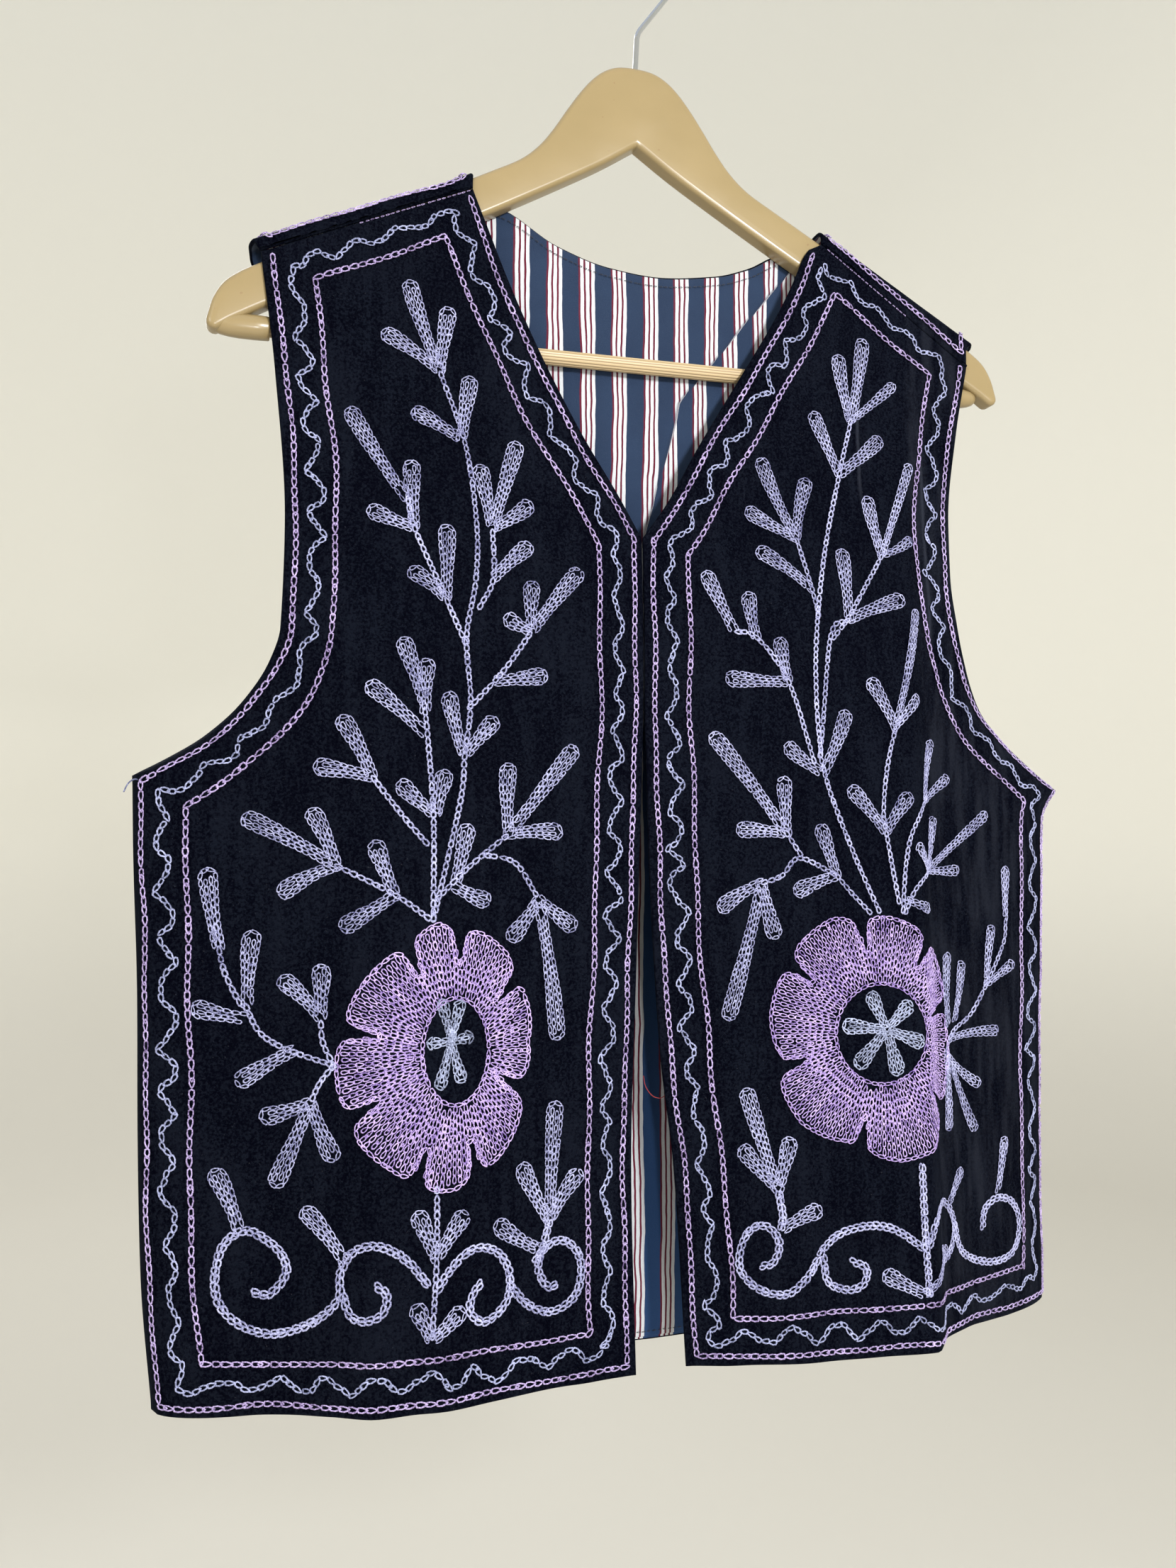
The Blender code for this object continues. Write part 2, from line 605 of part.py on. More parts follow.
def make_front(name, front, facing):
    def point(u, t):
        return front_point(front, u, t)
    us = even_shares(point, 1.0, 20)
    ts = spaced((0, 0.012, 1), (0.012, 0.03, 1), (0.03, 0.3, 8), (0.3, 0.55, 10),
                (0.55, CORNER_ROW, 1), (CORNER_ROW, 1, 8))
    outer, inward = grid_with_normals(point, us, ts, facing)
    return wall_object(name, outer, inward, 0, WALL, VELVET)


def make_back_and_lining():
    tips = back_side_x(-1, 0), back_side_x(1, 0)
    pins = [(x - tips[0]) / (tips[1] - tips[0])
            for x in (RIGHT_SHOULDER.neck_x, LEFT_SHOULDER.neck_x)]
    us = even_shares(back_point, 1.0, 32, pins)
    over_arm, upper, chest, lower = 8, 3, 9, 7
    ts = spaced((0, BACK_STAGES[1], over_arm), (BACK_STAGES[1], BACK_STAGES[2], upper),
                (BACK_STAGES[2], BACK_STAGES[3], chest), (BACK_STAGES[3], CORNER_ROW, 1),
                (CORNER_ROW, 1, lower))
    outer, inward = grid_with_normals(back_point, us, ts, -1)

    def outside_neck(row, column):
        return row >= over_arm or not pins[0] <= (us[column] + us[column + 1]) / 2 <= pins[1]
    wall_object("back", outer, inward, 0, WALL, VELVET, outside_neck)
    outer, inward = grid_with_normals(lining_point, us[2:-2], ts[over_arm:], -1)
    wall_object("back_lining", outer, inward, WALL + GAP, LINING_WALL, LINING_COTTON)


def main():
    for old in list(bpy.data.objects):
        bpy.data.objects.remove(old)
    make_hanger()
    make_front("front_right", WEARERS_RIGHT, -1)
    make_front("front_left", WEARERS_LEFT, 1)
    make_back_and_lining()


main()
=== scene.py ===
"""Looks of an embroidered folk vest on its clothes hanger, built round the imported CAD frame.

Metres, +Z up, in the frame's own axes: the fronts face -Y. Tables and cloth forms are in
millimetres, with a "drop" measured down from the origin inside the hook's crown and a depth
along Y. Each panel of velvet is a rounded wall on its solid's form, and every chain stitch
on it is a real loop of yarn.
"""
import math
from collections import namedtuple

import bmesh
import bpy
import numpy as np
from mathutils import Matrix, Vector

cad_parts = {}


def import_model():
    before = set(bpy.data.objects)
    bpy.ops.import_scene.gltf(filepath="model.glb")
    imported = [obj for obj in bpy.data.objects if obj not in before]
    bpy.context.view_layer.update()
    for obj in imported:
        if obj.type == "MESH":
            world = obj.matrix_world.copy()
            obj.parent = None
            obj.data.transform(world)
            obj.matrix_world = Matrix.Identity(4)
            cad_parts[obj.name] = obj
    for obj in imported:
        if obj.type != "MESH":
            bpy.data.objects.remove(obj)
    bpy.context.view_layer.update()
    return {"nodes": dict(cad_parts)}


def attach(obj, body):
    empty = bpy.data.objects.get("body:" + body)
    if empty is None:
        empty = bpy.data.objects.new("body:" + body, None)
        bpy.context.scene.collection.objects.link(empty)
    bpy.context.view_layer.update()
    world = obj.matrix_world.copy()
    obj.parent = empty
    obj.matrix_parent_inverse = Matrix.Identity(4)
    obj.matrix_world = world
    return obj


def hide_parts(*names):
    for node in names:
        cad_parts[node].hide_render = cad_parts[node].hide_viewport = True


MM = 0.001
RANDOM_SEED = 11


# Shaders: arithmetic on sockets

class Value:
    """A number socket. Arithmetic on it adds Math nodes."""

    def __init__(self, finish, socket):
        self.finish, self.socket = finish, socket

    def maths(self, operation, *others):
        inputs = {k: other for k, other in enumerate((self, *others))}
        return self.finish.node("Math", {"operation": operation}, inputs)

    def flipped(self, operation, other):
        return self.finish.node("Math", {"operation": operation}, {0: other, 1: self})

    def __add__(self, other):
        return self.maths("ADD", other)

    def __sub__(self, other):
        return self.maths("SUBTRACT", other)

    def __rsub__(self, other):
        return self.flipped("SUBTRACT", other)

    def __mul__(self, other):
        return self.maths("MULTIPLY", other)

    def __mod__(self, other):
        return self.maths("FLOORED_MODULO", other)

    def __abs__(self):
        return self.maths("ABSOLUTE")

    __radd__ = __add__
    __rmul__ = __mul__

    def over(self, edge, soft):
        """0 below edge and 1 above edge + soft."""
        ramp = {"Value": self, "From Min": edge, "From Max": edge + soft}
        return self.finish.node("MapRange", {"interpolation_type": "SMOOTHSTEP"}, ramp)

    def under(self, edge, soft):
        return 1 - self.over(edge, soft)


class Finish:
    """A material under construction, round one Principled BSDF."""

    def __init__(self, name, **plain):
        self.material = bpy.data.materials.new(name)
        self.material.use_nodes = True
        self.tree = self.material.node_tree
        self.shader = self.tree.nodes["Principled BSDF"]
        for socket, value in plain.items():
            self.shader.inputs[socket.replace("_", " ")].default_value = value
        coordinates = self.node("TexCoord", output="Object")
        self.place = coordinates
        split = self.node("SeparateXYZ", inputs={"Vector": coordinates}).socket.node
        self.x, self.y, self.z = (Value(self, split.outputs[axis]) for axis in "XYZ")

    def node(self, kind, settings=None, inputs=None, output=0):
        """Add a node; its settings come first, then its sockets' values or links."""
        made = self.tree.nodes.new("ShaderNode" + kind)
        for name, value in (settings or {}).items():
            setattr(made, name, value)
        for name, value in (inputs or {}).items():
            if isinstance(value, Value):
                self.tree.links.new(value.socket, made.inputs[name])
            else:
                made.inputs[name].default_value = value
        return Value(self, made.outputs[output])

    def noise(self, scale, detail=2.0, stretch=(1, 1, 1), roughness=0.5):
        """Fractal noise over the object, from 0 to 1; scale is in features per metre."""
        place = self.node("VectorMath", {"operation": "MULTIPLY"}, {0: self.place, 1: stretch})
        return self.node("TexNoise", inputs={"Vector": place, "Scale": scale, "Detail": detail,
                                             "Roughness": roughness})

    def blend(self, first, second, share):
        """A colour between two, which may be plain or linked."""
        colours = [(*c, 1) if isinstance(c, tuple) else c for c in (first, second)]
        return self.node("Mix", {"data_type": "RGBA"},
                         {0: share, 6: colours[0], 7: colours[1]}, output=2)

    def bump(self, height, distance, strength=1.0):
        raised = self.node("Bump", inputs={"Height": height, "Distance": distance,
                                           "Strength": strength})
        self.tree.links.new(raised.socket, self.shader.inputs["Normal"])

    def feed(self, **values):
        for socket, value in values.items():
            self.tree.links.new(value.socket, self.shader.inputs[socket.replace("_", " ")])
        return self.material


# Finishes

Crease = namedtuple("Crease", "x top bottom")
PRESSED_CREASES = (Crease(126, 245, 325), Crease(166, 285, 410))
# where the painted sheen on the left front's side begins
SIDE_SHEEN_START = 0.155


def velvet_finish():
    """Blue-black cotton velvet, its nap crushed in soft patches and faint upright streaks. A grey
    sheen is painted on the left front where it turns away towards its side.
    """
    finish = Finish("black_velvet", Sheen_Weight=0.014, Sheen_Roughness=0.45,
                    Sheen_Tint=(0.42, 0.58, 1.0, 1), Specular_IOR_Level=0.022)
    patches = finish.noise(22, 6, (1, 1, 0.6), 0.68)
    streaks = finish.noise(150, 3, (1, 1, 0.14))
    pile = finish.noise(750, 3, roughness=0.7)
    dust = finish.noise(900, 2).over(0.69, 0.12)
    crushed = patches.over(0.40, 0.30) * 0.22 + streaks.over(0.38, 0.34) * 0.20
    crushed = (crushed + pile.over(0.36, 0.28) * 0.52).over(0.10, 0.62)
    creased = None
    for crease in PRESSED_CREASES:
        wander = finish.noise(18, 2) * 0.006 - 0.003
        across = abs(finish.x + wander - crease.x * MM).under(0.0002, 0.0016)
        along = (finish.z.under(-crease.top * MM, 0.03)
                 * finish.z.over(-crease.bottom * MM, 0.03))
        line = across * along * finish.y.under(0, 0.001) * (0.15 + streaks * 0.35)
        creased = line if creased is None else creased + line
    colour = finish.blend((0.0001, 0.0002, 0.0022), (0.0044, 0.0056, 0.0100), crushed)
    colour = finish.blend(colour, (0.040, 0.044, 0.060), creased)
    # painted sheen: past this x the left front is painted greyer in streaks, where it turns away
    # towards its side seam
    painted_side_sheen = finish.x.over(SIDE_SHEEN_START, 0.004) * finish.y.under(0, 0.001)
    colour = finish.blend(colour, (0.020, 0.022, 0.030), painted_side_sheen * streaks.over(0.35, 0.4) * 0.35)
    colour = finish.blend(colour, (0.060, 0.062, 0.075), dust * 0.30)
    finish.bump(finish.noise(1500, 2) * 0.5 + finish.noise(260, 3), 0.0006, 0.55)
    return finish.feed(Base_Color=colour, Roughness=0.78 + crushed * 0.14)


def yarn_finish(name, deep, pale):
    """Soft plied yarn. The shade attribute changes from stitch to stitch."""
    finish = Finish(name, Sheen_Weight=0.10, Sheen_Roughness=0.5, Roughness=0.55,
                    Sheen_Tint=(*pale, 1), Specular_IOR_Level=0.30)
    shade = finish.node("Attribute", {"attribute_name": "shade"}, output="Fac")
    plies = finish.noise(1300, 2)
    drift = finish.noise(30, 2)
    share = shade * 0.60 + plies.over(0.34, 0.32) * 0.55 + drift * 0.30 - 0.26
    finish.bump(plies, 0.0006, 1.0)
    return finish.feed(Base_Color=finish.blend(deep, pale, share.maths("MINIMUM", 1.0)))


STRIPE_REPEAT = 0.018         # metres, like every place in a shader
STRIPE_GROUP = 0.0087
STRIPE_BAND = 0.0029
MAROON_LINE = 0.0010
DiagonalFold = namedtuple("DiagonalFold", "top top_x slope bend bend_x lower_slope")
LINING_FOLD = DiagonalFold(0.214, 0.0637, 0.80, 0.262, 0.0264, 0.26)
NAVY_PAINTED_BRIGHTER_BELOW = 0.40          # painted light: below this drop, where the lining is seen in the fronts' shade, its navy is painted brighter and bluer


def cotton_finish():
    """Navy cotton with groups of three white bands, each with a maroon line beside it. Painted
    shade darkens its diagonal fold, and painted light makes its navy brighter low down.
    """
    finish = Finish("striped_cotton", Sheen_Weight=0.12, Sheen_Roughness=0.5,
                    Specular_IOR_Level=0.25)
    wander = finish.noise(9, 2) * 0.005 + finish.noise(60, 3, (1, 1, 0.7)) * 0.0026
    drop = 0 - finish.z
    upper = (LINING_FOLD.top - drop) * LINING_FOLD.slope + LINING_FOLD.top_x
    lower = (LINING_FOLD.bend - drop) * LINING_FOLD.lower_slope + LINING_FOLD.bend_x
    beside = finish.x + finish.noise(30, 2) * 0.004 - upper.maths("MAXIMUM", lower)
    shift = beside.over(0.0, 0.0012) * 0.0070
    crease = abs(beside).under(0.0, 0.0016)
    across = (finish.x + wander + shift + 1.0) % STRIPE_REPEAT
    in_group = across.under(STRIPE_GROUP, 0.0001)
    in_band = across % STRIPE_BAND
    white = in_group * in_band.over(MAROON_LINE, 0.0001)
    maroon = in_group * in_band.under(MAROON_LINE, 0.0001)
    cloth = finish.noise(40, 3)
    weave = finish.noise(1700, 1)
    plain_navy = finish.blend((0.0075, 0.0175, 0.044), (0.015, 0.032, 0.070), cloth)
    # painted light: the navy is painted brighter and bluer low down, where the lining lies in the
    # fronts' shade
    navy = finish.blend(plain_navy, (0.013, 0.044, 0.125), drop.over(NAVY_PAINTED_BRIGHTER_BELOW, 0.08))
    pale = finish.blend((0.47, 0.48, 0.49), (0.60, 0.61, 0.62), weave)
    colour = finish.blend(finish.blend(navy, pale, white), (0.10, 0.006, 0.020), maroon)
    # painted shade: a darker line along the lining's diagonal fold
    colour = finish.blend(colour, (0.010, 0.018, 0.040), crease * 0.55)
    finish.bump(weave * 0.4 + finish.noise(150, 3, (1, 1, 0.4)), 0.0006, 0.6)
    return finish.feed(Base_Color=colour, Roughness=0.80 + weave * 0.12)


def lacquer_finish():
    """Glossy beige lacquer, faintly mottled, with a few dark specks and dulled rubs."""
    finish = Finish("beige_lacquer", Coat_Weight=0.22, Coat_Roughness=0.16)
    mottle = finish.noise(22, 4, (1, 1, 1.6))
    specks = finish.noise(260, 1).over(0.775, 0.02)
    rubs = finish.noise(60, 4, (0.5, 1, 1)).over(0.55, 0.2)
    colour = finish.blend((0.255, 0.184, 0.080), (0.312, 0.228, 0.109), mottle)
    colour = finish.blend(colour, (0.22, 0.13, 0.06), specks * 0.55)
    finish.bump(finish.noise(90, 3), 0.0004, 0.12)
    return finish.feed(Base_Color=colour, Roughness=0.30 + rubs * 0.10)


BAR_LEVEL = 244.45            # drop of the bar's axis at x 0
BAR_SLOPE = 0.0248
BAR_RIBS = 14


def bar_finish():
    """Pale wood with the lacquer thin on it, and painted shade as darker lines in its grooves."""
    finish = Finish("pale_bar_wood", Coat_Weight=0.15, Coat_Roughness=0.25)
    grain = finish.noise(240, 4, (0.05, 1, 1))
    height = finish.z + BAR_LEVEL * MM - finish.x * BAR_SLOPE
    around = height.maths("ARCTAN2", finish.y) * (BAR_RIBS / (2 * math.pi))
    groove_shade = abs(around % 1.0 - 2 / 3).under(0.06, 0.12)
    colour = finish.blend((0.41, 0.29, 0.145), (0.58, 0.44, 0.25), grain)
    # painted shade: a dark line in each groove between the bar's ribs
    colour = finish.blend(colour, (0.16, 0.09, 0.04), groove_shade * 0.75)
    finish.bump(grain, 0.0003, 0.4)
    return finish.feed(Base_Color=colour, Roughness=0.46 + grain * 0.12)


def steel_finish():
    """Bright plated wire with a few dull scuffs."""
    finish = Finish("plated_steel", Metallic=1.0, Base_Color=(0.60, 0.62, 0.66, 1))
    scuffs = finish.noise(420, 3, (1, 1, 0.3))
    return finish.feed(Roughness=0.10 + scuffs.over(0.5, 0.3) * 0.16)


def thread_finish(name, colour):
    """Plain sewing thread with darker fibres."""
    finish = Finish(name, Roughness=0.7, Sheen_Weight=0.1)
    fibres = finish.noise(2200, 2)
    dark = tuple(0.6 * part for part in colour)
    return finish.feed(Base_Color=finish.blend(dark, colour, fibres))


# Cloth forms, in millimetres

GAP = 0.3                  # between pieces that meet
WALL = 2.2
LINING_WALL = 1.0
FRONT_FACE = -8.0          # depths of the straps' outer faces, before and behind the arms
BACK_FACE = 9.3
ROLL_RADIUS = 5.5          # of a strap's outer face, at the corners of its fold over an arm
CORNER_CLOTH = math.pi / 2 * (ROLL_RADIUS - WALL / 2)      # length of cloth in such a corner
FLAT_CLOTH = BACK_FACE - FRONT_FACE - 2 * ROLL_RADIUS      # and between the two corners
SIDE_SEAM_DEPTH = 2.0
SIDE_ROUND = 28.0          # width over which a panel turns to its side seam
V_BOTTOM = 342.0
UNDERARM = 470.0
HEM = 764.0
YOKE_LEVEL, CHEST_LEVEL = 215.0, 400.0
CHEST_BLEND = 90.0         # above and below the chest, the yoke's hang gives way to the hem's
BACK_ROWS_LEVEL = 250.0
FOLDS_FULL_LEVEL = 290.0   # the back's soft folds grow from the yoke down to here
CALM_SIDE, CALM_CENTRE = 14, 10        # no folds at a panel's edges, full ones this far in
REST_GAP = 0.7             # between a strap and the arm under it
LINING_RIM = 1.5           # velvet that shows past the lining at its neck and its hem
LINING_HEM_RIM = 2.5

Edge = namedtuple("Edge", "drop x")
Hang = namedtuple("Hang", "x yoke chest hem")
Shoulder = namedtuple("Shoulder", "neck_x tip_x crest slope seam_at_neck seam_at_tip")
Fold = namedtuple("Fold", "top_x top bottom_x bottom width height")
Front = namedtuple("Front", "shoulder neck centre armhole side hang folds")

RIGHT_SHOULDER = Shoulder(-93.0, -197.5, 156.6, 0.466, 9.0, 9.0)
LEFT_SHOULDER = Shoulder(106.0, 200.0, 155.5, 0.524, 9.0, 19.0)

WEARERS_RIGHT = Front(
    RIGHT_SHOULDER,
    neck=(Edge(166, -93), Edge(185, -85), Edge(210, -74.5), Edge(250, -55.5), Edge(290, -34),
          Edge(320, -15.5), Edge(V_BOTTOM, -3.5)),
    centre=(Edge(V_BOTTOM, -3.5), Edge(440, -5), Edge(560, -9), Edge(665, -12.5),
            Edge(HEM, -10.5)),
    armhole=(Edge(214, -197.5), Edge(272, -190), Edge(347, -184.5), Edge(399, -186),
             Edge(415, -191), Edge(434, -203), Edge(451, -220.5), Edge(462, -237.5),
             Edge(UNDERARM, -252)),
    side=(Edge(UNDERARM, -252), Edge(505, -251), Edge(571, -248), Edge(637, -246.5),
          Edge(702, -244), Edge(HEM, -238)),
    hang=(Hang(-235, -8, -10, -12), Hang(-198, -8, -14, -16), Hang(-178, -8, -17, -21.5),
          Hang(-158, -8, -20, -30), Hang(-138, -8, -22, -38.5), Hang(-110, -8, -24, -40),
          Hang(-83, -8, -24, -36), Hang(-50, -8, -23, -31), Hang(-5, -8, -21, -29)),
    folds=(Fold(-112, 395, -108, 480, 3.0, 0.9), Fold(-150, 300, -146, 560, 14, 0.9),
           Fold(-60, 380, -66, 650, 16, 1.1), Fold(-205, 560, -202, 800, 11, 1.3),
           Fold(-128, 640, -120, 800, 9, -1.2), Fold(-35, 560, -38, 800, 8, 0.8),
           Fold(-170, 250, -176, 380, 9, -0.8)))

WEARERS_LEFT = Front(
    LEFT_SHOULDER,
    neck=(Edge(164.5, 106), Edge(166.5, 101), Edge(171, 96.5), Edge(190, 88), Edge(210, 78),
          Edge(250, 54), Edge(290, 29.5), Edge(320, 12.5), Edge(V_BOTTOM, -3.1)),
    centre=(Edge(V_BOTTOM, -3.1), Edge(430, -4.2), Edge(462, -3.2), Edge(515, -1.5),
            Edge(608, 4), Edge(665, 10.6), Edge(HEM, 16.3)),
    armhole=(Edge(224.5, 200), Edge(265, 192), Edge(317, 184.8), Edge(350, 184.3),
             Edge(378, 187.5), Edge(402, 192.5), Edge(423, 204), Edge(440.5, 223),
             Edge(457.7, 247), Edge(UNDERARM, 265)),
    side=(Edge(UNDERARM, 265), Edge(478, 258), Edge(488, 254.5), Edge(530, 253.5),
          Edge(600, 251), Edge(680, 249.5), Edge(HEM, 250)),
    hang=(Hang(0, -8, -21, -23), Hang(45, -8, -24, -34.6), Hang(80, -8, -26, -43),
          Hang(119, -8, -26.5, -46.5), Hang(147, -8, -26, -50), Hang(162.5, -8, -20, -35.5),
          Hang(202, -8, -14, -21), Hang(249, -8, -8, -9)),
    folds=(Fold(126, 240, 124, 340, 2.4, 0.8), Fold(165, 270, 168, 430, 2.6, 0.8),
           Fold(60, 360, 66, 640, 15, 1.0), Fold(30, 540, 38, 800, 10, 1.1),
           Fold(206, 520, 212, 800, 11, 1.4), Fold(96, 560, 92, 800, 12, -1.1),
           Fold(182, 560, 186, 800, 7, -1.0)))

BACK_NECK = (Edge(165.5, -75), Edge(181, -44), Edge(188.5, -15), Edge(190, 8),
             Edge(184.5, 47), Edge(177, 68), Edge(167, 86))
BACK_ARMHOLE_RIGHT = (Edge(188, -198), Edge(205, -203.5), Edge(240, -191), Edge(290, -184.5),
                      Edge(350, -181), Edge(400, -182), Edge(425, -190), Edge(445, -206),
                      Edge(458, -224), Edge(466, -240), Edge(UNDERARM, -252))
BACK_ARMHOLE_LEFT = (Edge(188, 200), Edge(205, 208), Edge(225, 203), Edge(250, 195),
                     Edge(300, 186), Edge(350, 183), Edge(385, 184.5), Edge(412, 193),
                     Edge(433, 211), Edge(448, 232), Edge(460, 249), Edge(UNDERARM, 265))
BACK_HANG = (Hang(-240, 9.3, 10, 9), Hang(-170, 9.3, 13, 14), Hang(-90, 9.3, 14, 17),
             Hang(-20, 9.3, 13, 12), Hang(40, 9.3, 12.5, 10.5), Hang(120, 9.3, 14, 16),
             Hang(190, 9.3, 13, 15), Hang(240, 9.3, 10, 9))
BACK_FOLDS = (Fold(-130, 300, -136, 800, 18, 1.6), Fold(-40, 260, -48, 800, 22, 1.4),
              Fold(48, 280, 60, 800, 20, 1.5), Fold(140, 320, 150, 800, 17, 1.6),
              Fold(5, 420, 8, 800, 14, -1.3), Fold(95, 470, 102, 800, 12, -1.2))
LINING_PUCKERS = (Fold(-6, 190, -60, 300, 5, 0.9), Fold(40, 200, 20, 330, 7, 0.7),
                  Fold(-60, 195, -72, 260, 6, 0.6), Fold(70, 190, 60, 260, 5, 0.5),
                  Fold(20, 205, -22, 330, 4, -0.5), Fold(0, 480, 4, 800, 4, 0.8))


def through(places, values, at):
    """A curve through the given values with no overshoot, held level past its ends."""
    places = np.asarray(places, float)
    values = np.asarray(values, float)
    steps = np.diff(places)
    slopes = np.diff(values) / steps
    tangents = np.zeros(len(places))
    tangents[0], tangents[-1] = slopes[0], slopes[-1]
    before, after = slopes[:-1], slopes[1:]
    same_way = before * after > 0
    total = np.where(same_way, before + after, 1.0)
    tangents[1:-1] = np.where(same_way, 2 * before * after / total, 0)
    at = np.clip(np.asarray(at, float), places[0], places[-1])
    k = np.clip(np.searchsorted(places, at, side="right") - 1, 0, len(steps) - 1)
    s = (at - places[k]) / steps[k]
    near = (1 + 2 * s) * (1 - s) ** 2 * values[k] + s * (1 - s) ** 2 * steps[k] * tangents[k]
    far = s * s * (3 - 2 * s) * values[k + 1] - s * s * (1 - s) * steps[k] * tangents[k + 1]
    return near + far


def edge_x(edge, drop):
    """Where an edge lies across the vest at a drop."""
    return through([row.drop for row in edge], [row.x for row in edge], drop)


def ease(value, start, end):
    """A smooth step from 0 at start to 1 at end."""
    s = np.clip((value - start) / (end - start), 0, 1)
    return s * s * (3 - 2 * s)


def fold_height(folds, x, drop):
    """Height of the soft folds and troughs at a point, towards the viewer of the cloth."""
    height = np.zeros_like(np.asarray(x, float))
    for fold in folds:
        run = (drop - fold.top) / (fold.bottom - fold.top)
        centre = fold.top_x + (fold.bottom_x - fold.top_x) * run
        share = ease(run, -0.1, 0.3) * (1 - ease(run, 0.75, 1.1))
        height = height + fold.height * share * np.exp(-((x - centre) / fold.width) ** 2)
    return height


def hang_depth(hang, x, drop):
    """Depth of a hanging panel's outer face, from the yoke through the chest to the hem."""
    across = [row.x for row in hang]
    yoke, chest, hem = (through(across, [getattr(row, level) for row in hang], x)
                        for level in ("yoke", "chest", "hem"))
    upper = yoke + (chest - yoke) * ease(drop, YOKE_LEVEL, 2 * CHEST_LEVEL - YOKE_LEVEL) * 2
    lower = chest + (hem - chest) * (drop - CHEST_LEVEL) / (HEM - CHEST_LEVEL)
    share = ease(drop, CHEST_LEVEL - CHEST_BLEND, CHEST_LEVEL + CHEST_BLEND)
    return upper * (1 - share) + lower * share


def by_side_seam(drop):
    """0 along most of the armhole, and 1 from the underarm down."""
    return ease(drop, UNDERARM - 72, UNDERARM - 3)


def turned_to_seam(depth, inset, drop):
    """Bring a panel's depth round to the side seam's plane over its last stretch."""
    q = np.clip(inset / SIDE_ROUND, 0, 1)
    kept = np.sqrt(1 - (1 - q) ** 2)
    kept = 1 - (1 - kept) * by_side_seam(drop)
    return SIDE_SEAM_DEPTH + (depth - SIDE_SEAM_DEPTH) * kept


def seam_drop(shoulder, x):
    """The shoulder seam, in front of the arm."""
    share = (x - shoulder.neck_x) / (shoulder.tip_x - shoulder.neck_x)
    below = shoulder.seam_at_neck + (shoulder.seam_at_tip - shoulder.seam_at_neck) * share
    return shoulder.crest + shoulder.slope * np.abs(x - shoulder.neck_x) + below


def front_inner_x(front, drop):
    """A front's inner edge: the neck above, the opening below."""
    return np.where(drop < V_BOTTOM, edge_x(front.neck, drop), edge_x(front.centre, drop))


def front_outer_x(front, drop):
    """A front's outer edge: the armhole above, the side seam below."""
    return np.where(drop < UNDERARM, edge_x(front.armhole, drop), edge_x(front.side, drop))


def front_place(front):
    """Outer face of a front over a point of its cut, as a function of x and drop."""
    def place(x, drop):
        x, drop = np.asarray(x, float), np.asarray(drop, float)
        inset = np.abs(front_outer_x(front, drop) - x)
        depth = hang_depth(front.hang, x, drop)
        from_centre = np.abs(x - front_inner_x(front, drop))
        calm = ease(inset, 0, CALM_SIDE) * ease(from_centre, 0, CALM_CENTRE)
        depth = depth - fold_height(front.folds, x, drop) * calm
        depth = turned_to_seam(depth, inset, drop)
        depth = depth - GAP / 2 * by_side_seam(drop)
        return np.stack([x, depth, -drop], axis=-1)
    return place


# The hanger's outline is needed here, because the straps of the back fold over its arms

HOOK_RISE = 80.0           # from the board's top up to the inside of the hook's crown
BOARD_X = -4.0
BOARD_TILT = -1.42         # degrees about Y
BOARD_HALF = ((0, -2.5), (10, -3.4), (18, -7), (25, -13), (32, -21.5), (39, -31.5), (47, -43.5),
              (55, -53.5), (65, -62), (80, -70.3), (97, -79.3), (130, -97), (163, -114.8),
              (195, -132.3), (206, -138.5), (214, -144.8), (219, -152.8), (221.5, -160.7),
              (222.4, -164.8), (221.4, -167.2), (218.8, -168.4), (216.3, -167.6), (211, -164),
              (204, -160), (195, -155), (140, -125.3), (86, -96), (65, -84.4), (43, -72),
              (20, -58.6))
BOARD_INNER_CORNER = (0, -45.5)
UPPER_EDGE_POINTS = 15


def board_to_world(x, height):
    """A point of the board's outline, as drop and x in the vest's frame."""
    tilt = math.radians(BOARD_TILT)
    across = BOARD_X + x * math.cos(tilt) + height * math.sin(tilt)
    return HOOK_RISE + x * math.sin(tilt) - height * math.cos(tilt), across


def arm_top(x):
    """Drop of the arms' upper edge at x."""
    upper = BOARD_HALF[:UPPER_EDGE_POINTS]
    edge = [board_to_world(-px, pz) for px, pz in reversed(upper[1:])]
    edge += [board_to_world(px, pz) for px, pz in upper]
    return np.interp(x, [across for drop, across in edge], [drop for drop, across in edge])


def side_value(x, field):
    """A shoulder's value on the side where x is."""
    right, left = getattr(RIGHT_SHOULDER, field), getattr(LEFT_SHOULDER, field)
    return np.where(np.asarray(x) < 0, right, left)


def crest_drop(x):
    """Top of the fold over an arm; near the neck it rests on the arm."""
    neck_x = side_value(x, "neck_x")
    beyond = np.where(np.abs(x) > np.abs(neck_x), 1, -1)
    line = side_value(x, "crest") + side_value(x, "slope") * np.abs(x - neck_x) * beyond
    return np.minimum(line, arm_top(x) - WALL - REST_GAP)


